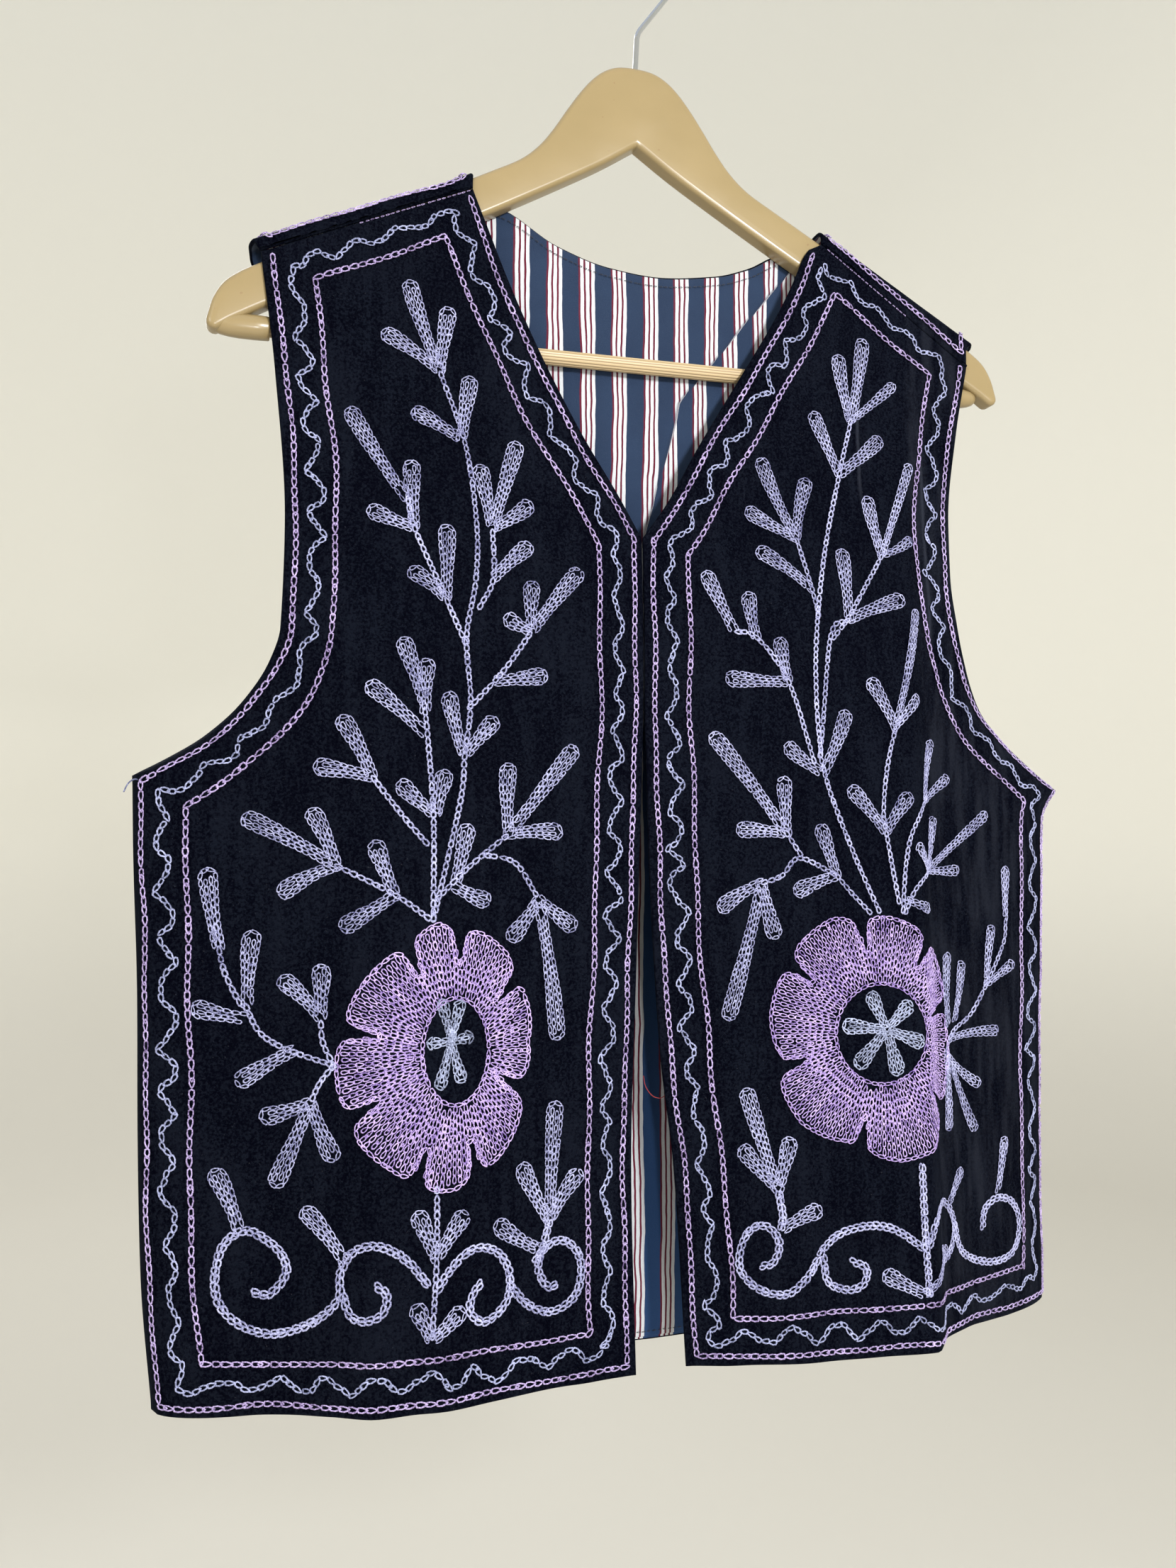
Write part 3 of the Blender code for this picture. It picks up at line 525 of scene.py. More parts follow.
def back_place(x, drop):
    """The back's outer face over a point of its cut cloth; above the arms the drop runs on
    along the cloth, up behind an arm, over it and down in front."""
    x, drop = np.asarray(x, float), np.asarray(drop, float)
    start = crest_drop(x) + ROLL_RADIUS
    run = start - drop
    rise = np.clip(run / CORNER_CLOTH, 0, 1) * math.pi / 2
    over = np.clip(run - CORNER_CLOTH, 0, FLAT_CLOTH)
    fall = np.clip((run - CORNER_CLOTH - FLAT_CLOTH) / CORNER_CLOTH, 0, 1) * math.pi / 2
    below = np.clip(run - 2 * CORNER_CLOTH - FLAT_CLOTH, 0, None)
    depth = (BACK_FACE - ROLL_RADIUS * (1 - np.cos(rise)) - over
             - ROLL_RADIUS * np.sin(fall))
    folded = start - ROLL_RADIUS * np.sin(rise) + ROLL_RADIUS * (1 - np.cos(fall)) + below
    edges = back_side_x(drop)
    inset = np.minimum(x - edges[0], edges[1] - x)
    hung = hang_depth(BACK_HANG, x, drop)
    calm = ease(inset, 0, CALM_SIDE) * ease(drop, YOKE_LEVEL, FOLDS_FULL_LEVEL)
    hung = hung + fold_height(BACK_FOLDS, x, drop) * calm
    hung = turned_to_seam(hung, inset, drop) + GAP / 2 * by_side_seam(drop)
    wrapped = drop < start
    return np.stack([x, np.where(wrapped, depth, hung), -np.where(wrapped, folded, drop)], -1)


def back_side_x(drop):
    """The back's two side edges, armhole above and side seam below."""
    right = np.where(drop < UNDERARM, edge_x(BACK_ARMHOLE_RIGHT, drop),
                     edge_x(WEARERS_RIGHT.side, drop))
    left = np.where(drop < UNDERARM, edge_x(BACK_ARMHOLE_LEFT, drop),
                    edge_x(WEARERS_LEFT.side, drop))
    return right, left


def back_seam_drop(x):
    """The shoulder seam on the back's cut cloth, before it folds over the arm."""
    start = crest_drop(x) + ROLL_RADIUS
    in_front = np.where(x < 0, seam_drop(RIGHT_SHOULDER, x), seam_drop(LEFT_SHOULDER, x))
    return start - 2 * CORNER_CLOTH - FLAT_CLOTH - (in_front - GAP / 2 - start)


def behind_arm_drop(x):
    """Where a strap hangs straight again, just below its corner behind an arm."""
    return crest_drop(x) + ROLL_RADIUS + 2


def back_neck_drop(x):
    """The back's neck edge, between the shoulders."""
    right, left = RIGHT_SHOULDER.neck_x, LEFT_SHOULDER.neck_x
    places = [right] + [row.x for row in BACK_NECK] + [left]
    drops = [float(behind_arm_drop(right))] + [row.drop for row in BACK_NECK]
    drops += [float(behind_arm_drop(left))]
    return through(places, drops, x)


def upper_edge_drop(x):
    """Where the back stops being a strap: its neck edge, or just behind an arm."""
    in_neck = (x >= RIGHT_SHOULDER.neck_x) & (x <= LEFT_SHOULDER.neck_x)
    return np.where(in_neck, back_neck_drop(x), behind_arm_drop(x))


# Walls of cloth with a rolled edge

RIM_STEPS = 4


def outward_normals(points, facing):
    """Normals of a grid of points, out of the vest."""
    across = np.gradient(points, axis=1)
    down = np.gradient(points, axis=0)
    normals = np.cross(across, down) * facing
    return normals / np.maximum(np.linalg.norm(normals, axis=-1, keepdims=True), 1e-9)


def border_loops(cells):
    """Ordered border of a set of four-cornered cells, as loops of corner numbers."""
    edges = set()
    for cell in cells:
        for a, b in zip(cell, cell[1:] + cell[:1]):
            if (b, a) in edges:
                edges.remove((b, a))
            else:
                edges.add((a, b))
    after = dict(sorted(edges))
    loops = []
    while after:
        start = next(iter(after))
        loop, here = [], start
        while here in after:
            loop.append(here)
            here = after.pop(here)
        loops.append(loop)
    return loops


def cloth_wall(name, points, normals, thickness, finishes, present=None):
    """A closed wall of cloth with a rolled edge, from its outer face in millimetres. Cells
    for which present is false are left out. The second finish is for its inner side."""
    rows, columns = points.shape[:2]
    kept = [(j, i) for j in range(rows - 1) for i in range(columns - 1)
            if present is None or present[j, i]]
    cells = [(j * columns + i, j * columns + i + 1, (j + 1) * columns + i + 1,
              (j + 1) * columns + i) for j, i in kept]
    outer = points.reshape(-1, 3).copy()
    normals = normals.reshape(-1, 3)
    radius = thickness / 2
    neighbours = {}
    for cell in cells:
        for corner in cell:
            neighbours.setdefault(corner, set()).update(cell)
    loops = border_loops(cells)
    rims = []
    for loop in loops:
        along = outer[np.roll(loop, -1)] - outer[np.roll(loop, 1)]
        away = np.cross(along, normals[loop])
        middle = np.array([outer[list(neighbours[v])].mean(axis=0) for v in loop])
        away *= np.sign(((outer[loop] - middle) * away).sum(axis=1, keepdims=True))
        away /= np.maximum(np.linalg.norm(away, axis=1, keepdims=True), 1e-9)
        rims.append((outer[loop].copy(), away))
    for loop, (edge, away) in zip(loops, rims):
        outer[loop] = edge - away * radius
    inner = outer - normals * thickness
    count = len(outer)
    vertices = [outer, inner]
    faces, sides = [], []
    for cell in cells:
        faces += [cell, tuple(corner + count for corner in reversed(cell))]
        sides += [0, 1]
    made = 2 * count
    for loop, (edge, away) in zip(loops, rims):
        core = edge - away * radius - normals[loop] * radius
        ring = list(loop)
        for step in range(1, RIM_STEPS + 1):
            if step < RIM_STEPS:
                angle = math.pi * step / RIM_STEPS
                vertices.append(core + radius * (math.cos(angle) * normals[loop]
                                                 + math.sin(angle) * away))
                further = list(range(made, made + len(loop)))
                made += len(loop)
            else:
                further = [corner + count for corner in loop]
            for k in range(len(loop)):
                n = (k + 1) % len(loop)
                faces.append((ring[n], ring[k], further[k], further[n]))
                sides.append(0)
            ring = further
    return smooth_piece(name, np.vstack(vertices) * MM, faces, finishes, sides)


def smooth_piece(name, vertices, faces, finishes, sides=None):
    """A finished piece from plain lists, with unused points dropped and normals out."""
    mesh = bpy.data.meshes.new(name)
    mesh.from_pydata([tuple(v) for v in vertices], [], [tuple(f) for f in faces])
    for finish in finishes:
        mesh.materials.append(finish)
    if sides is not None and len(finishes) > 1:
        mesh.polygons.foreach_set("material_index", sides)
    shape = bmesh.new()
    shape.from_mesh(mesh)
    loose = [v for v in shape.verts if not v.link_faces]
    bmesh.ops.delete(shape, geom=loose, context="VERTS")
    bmesh.ops.recalc_face_normals(shape, faces=shape.faces)
    shape.to_mesh(mesh)
    shape.free()
    mesh.shade_smooth()
    piece = bpy.data.objects.new(name, mesh)
    bpy.context.scene.collection.objects.link(piece)
    return piece


FRONT_COLUMNS = 74
FRONT_STAGES = (0, 0.3, 0.55, 1)       # shares down a front: seam, V's end, underarm, hem
FRONT_ROWS = (44, 44, 62)              # rows from each stage to the next
STAGE_SLOPE = 10                       # the V's stage meets the armhole this much lower


def make_front(name, front, facing, finishes):
    """One velvet front, sampled from its shoulder seam to its hem."""
    u = np.linspace(0, 1, FRONT_COLUMNS)[None, :]
    stretches = zip(FRONT_STAGES, FRONT_STAGES[1:], FRONT_ROWS)
    t = np.concatenate([np.linspace(a, b, n, endpoint=False) for a, b, n in stretches] + [[1]])
    t = t[:, None]
    top_in = seam_drop(front.shoulder, front.shoulder.neck_x) + GAP / 2
    top_out = seam_drop(front.shoulder, front.shoulder.tip_x) + GAP / 2
    drop_in = np.interp(t, FRONT_STAGES, (top_in, V_BOTTOM, UNDERARM, HEM))
    drop_out = np.interp(t, FRONT_STAGES, (top_out, V_BOTTOM + STAGE_SLOPE, UNDERARM, HEM))
    x_in = np.where(t > 0, front_inner_x(front, drop_in), front.shoulder.neck_x)
    x_out = np.where(t > 0, front_outer_x(front, drop_out), front.shoulder.tip_x)
    points = front_place(front)(x_in + (x_out - x_in) * u, drop_in + (drop_out - drop_in) * u)
    return cloth_wall(name, points, outward_normals(points, facing), WALL, finishes)


BACK_COLUMNS = (30, 52, 30)            # across one strap, the neck and the other strap
OVER_ARM_ROWS = 22
BACK_ROWS = (OVER_ARM_ROWS, 10, 44, 54)
LINING_ROWS = (16, 60, 60)
UNLINED_COLUMNS = 6                    # columns of the back past each side of the lining


def back_columns():
    """Columns of the back, with one on each neck point."""
    tips = [float(edge) for edge in back_side_x(np.array(0.0))]
    stops = (tips[0], RIGHT_SHOULDER.neck_x, LEFT_SHOULDER.neck_x, tips[1])
    stretches = zip(stops, stops[1:], BACK_COLUMNS)
    x = [np.linspace(a, b, n, endpoint=False) for a, b, n in stretches]
    return np.concatenate(x + [stops[-1:]])


def back_grid(levels, counts):
    """Points of the back between given drops of each column, rows spaced in stretches."""
    columns = back_columns()
    shares = (columns - columns[0]) / (columns[-1] - columns[0])
    rows = []
    for k, count in enumerate(counts):
        last = k == len(counts) - 1
        for s in np.linspace(0, 1, count, endpoint=last):
            rows.append(levels[k] * (1 - s) + levels[k + 1] * s)
    drop = np.array(rows)
    edges = back_side_x(drop)
    x = edges[0] + (edges[1] - edges[0]) * shares[None, :]
    return back_place(x, drop)


def make_back(finishes):
    """The velvet back with its straps over the arms, and the cotton lining inside it."""
    columns = back_columns()
    level = np.ones_like(columns)
    upper = upper_edge_drop(columns)
    levels = (back_seam_drop(columns), upper, BACK_ROWS_LEVEL * level, UNDERARM * level,
              HEM * level)
    points = back_grid(levels, BACK_ROWS)
    middle = (columns[1:] + columns[:-1]) / 2
    in_neck = (middle > RIGHT_SHOULDER.neck_x) & (middle < LEFT_SHOULDER.neck_x)
    present = np.ones((points.shape[0] - 1, points.shape[1] - 1), bool)
    present[:OVER_ARM_ROWS] = ~in_neck
    normals = outward_normals(points, 1)
    back = cloth_wall("velvet_back", points, normals, WALL, finishes, present)
    levels = (upper + LINING_RIM, BACK_ROWS_LEVEL * level, UNDERARM * level,
              (HEM - LINING_HEM_RIM) * level)
    points = back_grid(levels, LINING_ROWS)[:, UNLINED_COLUMNS:-UNLINED_COLUMNS]
    normals = outward_normals(points, 1)
    rise = fold_height(LINING_PUCKERS, points[..., 0], -points[..., 2])
    rise = np.clip(rise, -0.2, 1.2) * ease(-points[..., 2], 170, 200)
    points = points - normals * (WALL + GAP + np.clip(rise, 0, None))[..., None]
    lining = cloth_wall("cotton_lining", points, normals, LINING_WALL, finishes[1:])
    return back, lining


# Embroidery: where the rows of chain stitch run, in x and drop

# The stitches that a yarn makes; its radius is a share of a stitch's size
Yarn = namedtuple("Yarn", "pitch length width height radius")
BORDER_YARN = Yarn(4.45, 6.1, 4.0, 4.0, 0.092)
WAVE_YARN = Yarn(3.9, 5.4, 3.8, 3.8, 0.105)
LEAF_YARN = Yarn(3.6, 4.95, 2.85, 3.4, 0.094)
STAR_YARN = LEAF_YARN._replace(radius=0.115)
STEM_YARN = Yarn(3.6, 5.0, 3.9, 3.6, 0.115)
PETAL_YARN = Yarn(3.75, 5.05, 2.95, 3.6, 0.092)
SEAM_YARN = Yarn(2.9, 2.3, 0.9, 1.0, 0.115)
CHAIN_LIFT = 0.75              # of a stitch's middle above the cloth
OUTER_CHAIN, WAVE_LINE, INNER_CHAIN = 5.2, 14.6, 24.2
WAVE_LENGTH, WAVE_SWING = 23.0, 2.8
SEAM_SHIFT = 4.5           # the border's pattern starts above a front's shoulder seam
LEAF_TIP_WIDTH, LEAF_BASE_WIDTH = 9.6, 6.2
SIDE_TURN, SLIM = 150, 0.72    # leaves past this x, where the left front turns, are slimmer
LEAF_BOW = 1.2                 # the most that a leaf curves to one side
STAR_TAPER = 0.6               # a star's arm at its base, as a share of its width
SCROLL_HALF_GAP = 0.75         # a scroll has two rows of stitches, this far from its middle

Sprig = namedtuple("Sprig", "x drop tips")
Flower = namedtuple("Flower", "x drop hole_width hole_height edge slits star")
Star = namedtuple("Star", "x drop tips")

# The motifs' roots, tips, lines and edges are listed point by point, in millimetres. Only
# the rows of stitches round and between those points follow from rules.
RIGHT_SPRIGS = (
    Sprig(-110, 264, ((-126, 219), (-105, 230), (-139, 247))),
    Sprig(-99, 299, ((-94, 265), (-124, 286))),
    Sprig(-84, 344, ((-70, 297), (-90, 311), (-63, 329))),
    Sprig(-84, 370, ((-64, 351),)),
    Sprig(-126, 333, ((-155, 288),)),
    Sprig(-123, 347, ((-124, 312), (-146, 339))),
    Sprig(-108, 382, ((-107, 344), (-126, 368))),
    Sprig(-65, 396, ((-64, 370), (-38, 362), (-79, 389))),
    Sprig(-119, 432, ((-129, 402),)),
    Sprig(-118, 438, ((-117, 412),)),
    Sprig(-119, 448, ((-146, 425),)),
    Sprig(-143, 470, ((-158, 441), (-170, 465))),
    Sprig(-99, 459, ((-107, 428), (-83, 440))),
    Sprig(-84, 422, ((-57, 418),)),
    Sprig(-113, 488, ((-131, 472), (-108, 466))),
    Sprig(-77, 497, ((-42, 453), (-77, 462), (-49, 496))),
    Sprig(-103, 520, ((-97, 492),)),
    Sprig(-104, 522, ((-86, 530),)),
    Sprig(-62, 529, ((-77, 549), (-42, 544), (-52, 598))),
    Sprig(-159, 512, ((-202, 489), (-171, 485), (-185, 526))),
    Sprig(-132, 526, ((-142, 500), (-157, 542))),
    Sprig(-211, 551, ((-217, 513),)),
    Sprig(-198, 577, ((-196, 542),)),
    Sprig(-199, 583, ((-223, 577),)),
    Sprig(-177, 598, ((-203, 613),)),
    Sprig(-165, 583, ((-184, 564), (-165, 558))),
    Sprig(-169, 622, ((-192, 629), (-185, 661), (-158, 649))),
    Sprig(-112, 694, ((-121, 672), (-98, 674))),
    Sprig(-114, 731, ((-122, 714), (-99, 718))),
    Sprig(-200, 680, ((-212, 651),)),
    Sprig(-153, 694, ((-172, 670),)),
    Sprig(-56, 684, ((-53, 627), (-71, 655), (-40, 661))),
    Sprig(-61, 697, ((-84, 681),)))

RIGHT_STEMS = (
    ((-110, 264), (-97, 302), (-92, 343), (-93, 372), (-98, 401), (-96, 433), (-99, 459),
     (-101, 481), (-114, 538)),
    ((-126, 333), (-123, 347), (-108, 382), (-98, 405)),
    ((-84, 344), (-84, 370), (-91, 385)),
    ((-65, 396), (-76, 412), (-84, 422), (-97, 436)),
    ((-119, 432), (-117, 450), (-114, 490), (-114, 538)),
    ((-143, 470), (-129, 488), (-116, 503)),
    ((-77, 497), (-98, 514), (-112, 528)),
    ((-90, 507), (-74, 511), (-63, 527)),
    ((-159, 512), (-132, 526), (-115, 538)),
    ((-213, 539), (-209, 560), (-201, 577)),
    ((-199, 577), (-192, 590), (-179, 598), (-159, 605)),
    ((-165, 583), (-164, 594), (-159, 605)),
    ((-159, 605), (-165, 613), (-169, 622)),
    ((-112, 663), (-112, 694), (-114, 731)))

RIGHT_SCROLLS = (
    ((-116, 706), (-125, 695), (-138, 687), (-149, 689), (-155, 699), (-156, 711), (-168, 722),
     (-186, 727), (-202, 720), (-210, 707), (-208, 688), (-199, 680), (-190, 683), (-181, 691),
     (-179, 700), (-186, 709), (-194, 708)),
    ((-154, 708), (-151, 717), (-145, 720), (-137, 717), (-135, 709), (-140, 704)),
    ((-112, 709), (-104, 698), (-94, 692), (-83, 695), (-77, 705), (-78, 718), (-88, 726),
     (-96, 721), (-95, 713), (-91, 708)),
    ((-76, 712), (-67, 722), (-55, 727), (-44, 722), (-40, 711), (-42, 700), (-50, 694),
     (-59, 697), (-62, 706), (-57, 715), (-51, 714)),
    ((-56, 684), (-60, 697), (-64, 703)))

# A flower's edge is given by (direction, reach) from the middle of its hole, and its
# petals are parted by slits in the given directions, in degrees from +X towards the hem
RIGHT_FLOWER = Flower(
    -103, 600, 32, 50,
    edge=((-98, 62), (-77, 58), (-61, 53), (-34, 43), (-4, 37), (23, 38), (45, 46), (69, 57),
          (90, 65), (102, 66), (120, 62), (138, 61), (158, 58), (188, 55), (208, 55),
          (234, 56), (246, 58)),
    slits=(-115, -88, -48, 31, 80, 107, 149, 192),
    star=Star(-105.5, 595, ((-110, 575, 6.6), (-100.5, 576, 6.6), (-94.5, 593.5, 7.5),
                            (-100, 615, 6.8), (-111, 617.5, 6.8), (-117, 596, 7))))

LEFT_SPRIGS = (
    Sprig(122, 265, ((131, 216), (115, 227), (151, 240))),
    Sprig(113, 297, ((98, 262), (141, 273))),
    Sprig(84, 336, ((65, 292), (93, 301), (55, 322))),
    Sprig(91, 364, ((60, 344),)),
    Sprig(136, 342, ((129, 308), (159, 286), (157, 330))),
    Sprig(112, 380, ((111, 340), (148, 366))),
    Sprig(45, 390, ((30, 358),)),
    Sprig(57, 393, ((54, 368),)),
    Sprig(74, 416, ((39, 415), (70, 392))),
    Sprig(93, 464, ((71, 449), (108, 430))),
    Sprig(71, 496, ((31, 444), (70, 466), (44, 494))),
    Sprig(99, 518, ((90, 491), (74, 527))),
    Sprig(57, 522, ((34, 536), (64, 551), (38, 592))),
    Sprig(137, 438, ((122, 412), (153, 420), (156, 371))),
    Sprig(129, 495, ((108, 471), (145, 474))),
    Sprig(156, 478, ((163, 444), (176, 464))),
    Sprig(157, 516, ((204, 484), (163, 486), (182, 516), (148, 501))),
    Sprig(139, 531, ((157, 537),)),
    Sprig(200, 580, ((205, 547), (222, 569))),
    Sprig(216, 544, ((217, 514),)),
    Sprig(170, 601, ((171, 561),)),
    Sprig(175, 599, ((182, 566),)),
    Sprig(170, 608, ((208, 606),)),
    Sprig(170, 618, ((194, 635), (190, 660))),
    Sprig(168, 613, ((168, 657),)),
    Sprig(63, 677, ((47, 626), (44, 655), (70, 651))),
    Sprig(65, 697, ((86, 688),)),
    Sprig(141, 734, ((118, 722), (163, 716))),
    Sprig(167, 694, ((178, 678),)),
    Sprig(205, 694, ((211, 665),)))

LEFT_STEMS = (
    ((122, 265), (113, 297), (100, 345), (92, 389), (90, 425), (92, 457)),
    ((84, 336), (91, 364), (94, 380)),
    ((136, 342), (123, 362), (111, 380), (101, 392)),
    ((112, 380), (100, 391), (91, 457)),
    ((45, 390), (57, 393), (74, 416), (88, 459)),
    ((92, 457), (97, 475), (110, 508), (124, 539)),
    ((71, 496), (80, 509)),
    ((99, 518), (108, 528), (119, 539)),
    ((57, 522), (68, 518), (78, 509), (99, 518)),
    ((137, 438), (131, 460), (128, 483), (129, 495), (135, 533)),
    ((157, 476), (145, 495), (140, 513), (137, 539)),
    ((157, 516), (146, 525), (138, 539)),
    ((216, 544), (214, 557), (200, 580)),
    ((200, 580), (188, 596), (174, 604), (169, 612), (170, 618)))

LEFT_SCROLLS = (
    ((142, 712), (126, 701), (111, 698), (96, 701), (86, 708), (77, 721), (66, 729), (52, 726),
     (43, 716), (44, 704), (50, 696), (58, 696), (63, 704), (60, 713), (54, 715)),
    ((86, 712), (88, 724), (98, 729), (107, 727), (109, 719), (101, 715)),
    ((144, 710), (150, 697), (158, 692), (166, 697), (170, 708), (166, 719), (160, 722),
     (156, 714)),
    ((170, 706), (174, 719), (183, 727), (200, 732), (216, 729), (222, 716), (217, 703),
     (205, 698), (195, 703), (193, 714)),
    ((63, 677), (65, 690), (64, 697)),
    ((142, 668), (142, 700), (143, 734)))

LEFT_FLOWER = Flower(
    122.5, 601, 52, 52,
    edge=((-84, 62), (-67, 60), (-50, 57), (-32, 51), (0, 46.5), (32, 53), (65, 68), (83, 67),
          (97, 63), (113, 60), (137, 65), (158, 63), (172, 60), (189, 64), (204, 65),
          (226, 67), (246, 67), (260, 62)),
    slits=(-100, -144, 165, 104, 48, -14, -58),
    star=Star(125, 599, ((116, 579, 9.2), (140, 585, 9.2), (146.5, 607, 9.2), (131, 623, 9.8),
                         (107, 618, 9.8), (100, 596, 9.2))))


def smooth_path(corners, step=1.0):
    """Points at an even step along a Catmull-Rom curve through the corners."""
    corners = np.asarray(corners, float)
    ends = np.vstack([2 * corners[0] - corners[1], corners, 2 * corners[-1] - corners[-2]])
    s = np.linspace(0, 1, 12, endpoint=False)[:, None]
    points = []
    for a, b, c, d in zip(ends, ends[1:], ends[2:], ends[3:]):
        points.append(0.5 * (2 * b + (c - a) * s + (2 * a - 5 * b + 4 * c - d) * s ** 2
                             + (3 * b - a - 3 * c + d) * s ** 3))
    return resampled(np.vstack(points + [corners[-1:]]), step)


def lengths_along(path):
    """How far along a path each of its points lies."""
    return np.concatenate([[0], np.cumsum(np.linalg.norm(np.diff(path, axis=0), axis=1))])


def resampled(path, step):
    """The same path with a whole number of even steps."""
    length = lengths_along(path)
    count = max(1, round(length[-1] / step))
    at = np.linspace(0, length[-1], count + 1)
    return np.stack([np.interp(at, length, path[:, k]) for k in range(path.shape[1])], axis=1)


def sideways(path):
    """Unit directions across a path in the plane, to the left of its way."""
    along = np.gradient(path, axis=0)
    along /= np.maximum(np.linalg.norm(along, axis=1, keepdims=True), 1e-9)
    return np.stack([-along[:, 1], along[:, 0]], axis=1)


def inset_path(outline, distance):
    """A closed path a steady distance inside a closed outline."""
    following = np.roll(outline, -1, axis=0) - np.roll(outline, 1, axis=0)
    following /= np.maximum(np.linalg.norm(following, axis=1, keepdims=True), 1e-9)
    across = np.stack([-following[:, 1], following[:, 0]], axis=1)
    x, y = outline[:, 0], outline[:, 1]
    area = 0.5 * np.sum(x * np.roll(y, -1) - np.roll(x, -1) * y)
    moved = outline + across * distance * math.copysign(1, area)
    apart = np.linalg.norm(moved[:, None, :] - outline[None, :, :], axis=2).min(axis=1)
    kept = moved[apart > distance - 0.25]
    return np.vstack([kept, kept[:1]])


def wavering(path, swing, length, seed):
    """A path whose line strays slowly by hand."""
    chance = np.random.default_rng(seed)
    along = lengths_along(path)
    phases = chance.uniform(0, 2 * math.pi, 2)
    stray = (np.sin(along / length * 2 * math.pi + phases[0])
             + np.sin(along / length * 3.4 * math.pi + phases[1])) / 2
    return path + sideways(path) * (swing * stray)[:, None]


def wave_path(middle, seed):
    """The wavy row between the two plain rows of a border."""
    along = lengths_along(middle)
    turns = max(1, round(along[-1] / WAVE_LENGTH))
    chance = np.random.default_rng(seed)
    knots = np.linspace(0, along[-1], turns + 1)
    knots[1:-1] += chance.uniform(-4.5, 4.5, turns - 1)
    phase = np.interp(along, knots, np.arange(turns + 1)) * 2 * math.pi
    swing = WAVE_SWING * (1 + 0.30 * np.sin(along / 47) + 0.14 * np.sin(along / 11.3))
    ragged = 0.17 * np.sin(phase * 2.3 + 1.1) + 0.10 * np.sin(phase * 3.7)
    return middle + sideways(middle) * (swing * (np.sin(phase) + ragged))[:, None]


STITCH_INSET, BASE_INSET = 1.3, 1.1    # rows of stitches lie inside a motif's edge
BROAD_LEAF = 3                         # above this half width a leaf has two inner rows
INNER_ROW = 0.35                       # their share of the way out to its edge


def leaf_rows(base, tip, bow=0.0, tip_width=LEAF_TIP_WIDTH, base_width=LEAF_BASE_WIDTH):
    """Rows of a leaf: its outline round the tip, and one or two rows inside it."""
    base, tip = np.asarray(base, float), np.asarray(tip, float)
    length = np.linalg.norm(tip - base)
    along = (tip - base) / length
    across = np.array([-along[1], along[0]])
    half_tip, half_base = tip_width / 2 - STITCH_INSET, base_width / 2 - BASE_INSET
    widening = length * 0.75

    def half_width(at):
        share = np.clip((at - (length - widening)) / (widening * 0.8), 0, 1)
        return half_base + (half_tip - half_base) * share * share * (3 - 2 * share)

    def spot(at, side):
        arch = bow * 4 * (at / length) * (1 - at / length)
        return base + along * at + across * (side + arch)

    shoulder = length - half_tip - 1.0
    up = [spot(at, half_width(at)) for at in np.linspace(0, shoulder, 12)]
    down = [spot(at, -half_width(at)) for at in np.linspace(shoulder, 0, 12)]
    turn = [spot(shoulder + half_tip * math.sin(a), half_tip * math.cos(a))
            for a in np.linspace(0, math.pi, 9)[1:-1]]
    rows = [np.array(up + turn + down)]
    sides = (-INNER_ROW, INNER_ROW) if half_tip > BROAD_LEAF else (0.0,)
    for side in sides:
        inside = np.linspace(length * 0.14, shoulder + half_tip * 0.25, 9)
        rows.append(np.array([spot(at, side * half_width(at)) for at in inside]))
    return rows


SLIT_DEPTH, SLIT_WIDTH = 14.0, 2.3
CORNER_DEPTH, CORNER_WIDTH = 3.6, 6.5  # how a petal's corners are rounded towards a slit
RADIAL_ROW = 3.1                       # spacing of the fanned rows along the edge
RIM_CLEARANCE, EDGE_CLEARANCE = 1.2, 2.7    # of the fanned rows' two ends
STAGGER = 0.10                         # every other fanned row starts this share further out


def flower_reach(flower, angles):
    """How far a flower's edge is from its middle, with its petals' round corners and the
    slits between them; and the same without the slits."""
    edge = sorted((direction % 360, reach) for direction, reach in flower.edge)
    whole = np.interp(angles % 360, [row[0] for row in edge], [row[1] for row in edge],
                      period=360)
    apart = np.abs([(angles - slit + 180) % 360 - 180 for slit in flower.slits]).min(axis=0)
    apart = np.radians(apart) * whole
    corner = CORNER_DEPTH * np.exp(-(apart / CORNER_WIDTH) ** 2)
    return whole - corner - SLIT_DEPTH * np.exp(-(apart / SLIT_WIDTH) ** 2), whole


def flower_rows(flower):
    """Rows of a flower: its edge, rows fanned from the hole to the edge, and the rim."""
    middle = np.array([flower.x, flower.drop])
    half = np.array([flower.hole_width, flower.hole_height]) / 2

    def spot(angles, reach):
        turn = np.radians(angles)
        return middle + np.stack([np.cos(turn), np.sin(turn)], axis=-1) * reach[:, None]
    angles = np.linspace(0, 360, 1500, endpoint=False)
    reach, whole = flower_reach(flower, angles)
    edge = resampled(spot(np.append(angles, 360), np.append(reach, reach[0])), 0.7)[:-1]
    turn = np.linspace(0, 2 * math.pi, 200)[:, None]
    rim = middle + half * np.hstack([np.cos(turn), np.sin(turn)])
    rows = [inset_path(edge, STITCH_INSET), rim]
    length = lengths_along(spot(angles, whole))
    count = round(length[-1] / RADIAL_ROW)
    for k in range(count):
        angle = np.interp((k + 0.5) / count * length[-1], length, angles)
        outer = flower_reach(flower, np.array([angle]))[0][0] - EDGE_CLEARANCE
        turn = math.radians(angle)
        way = np.array([math.cos(turn), math.sin(turn)])
        inner = 1 / np.linalg.norm(way / half) + RIM_CLEARANCE
        if k % 2:
            inner += (outer - inner) * STAGGER
        rows.append(np.stack([middle + way * inner, middle + way * outer]))
    return rows


# Embroidery: chain stitches on the cloth

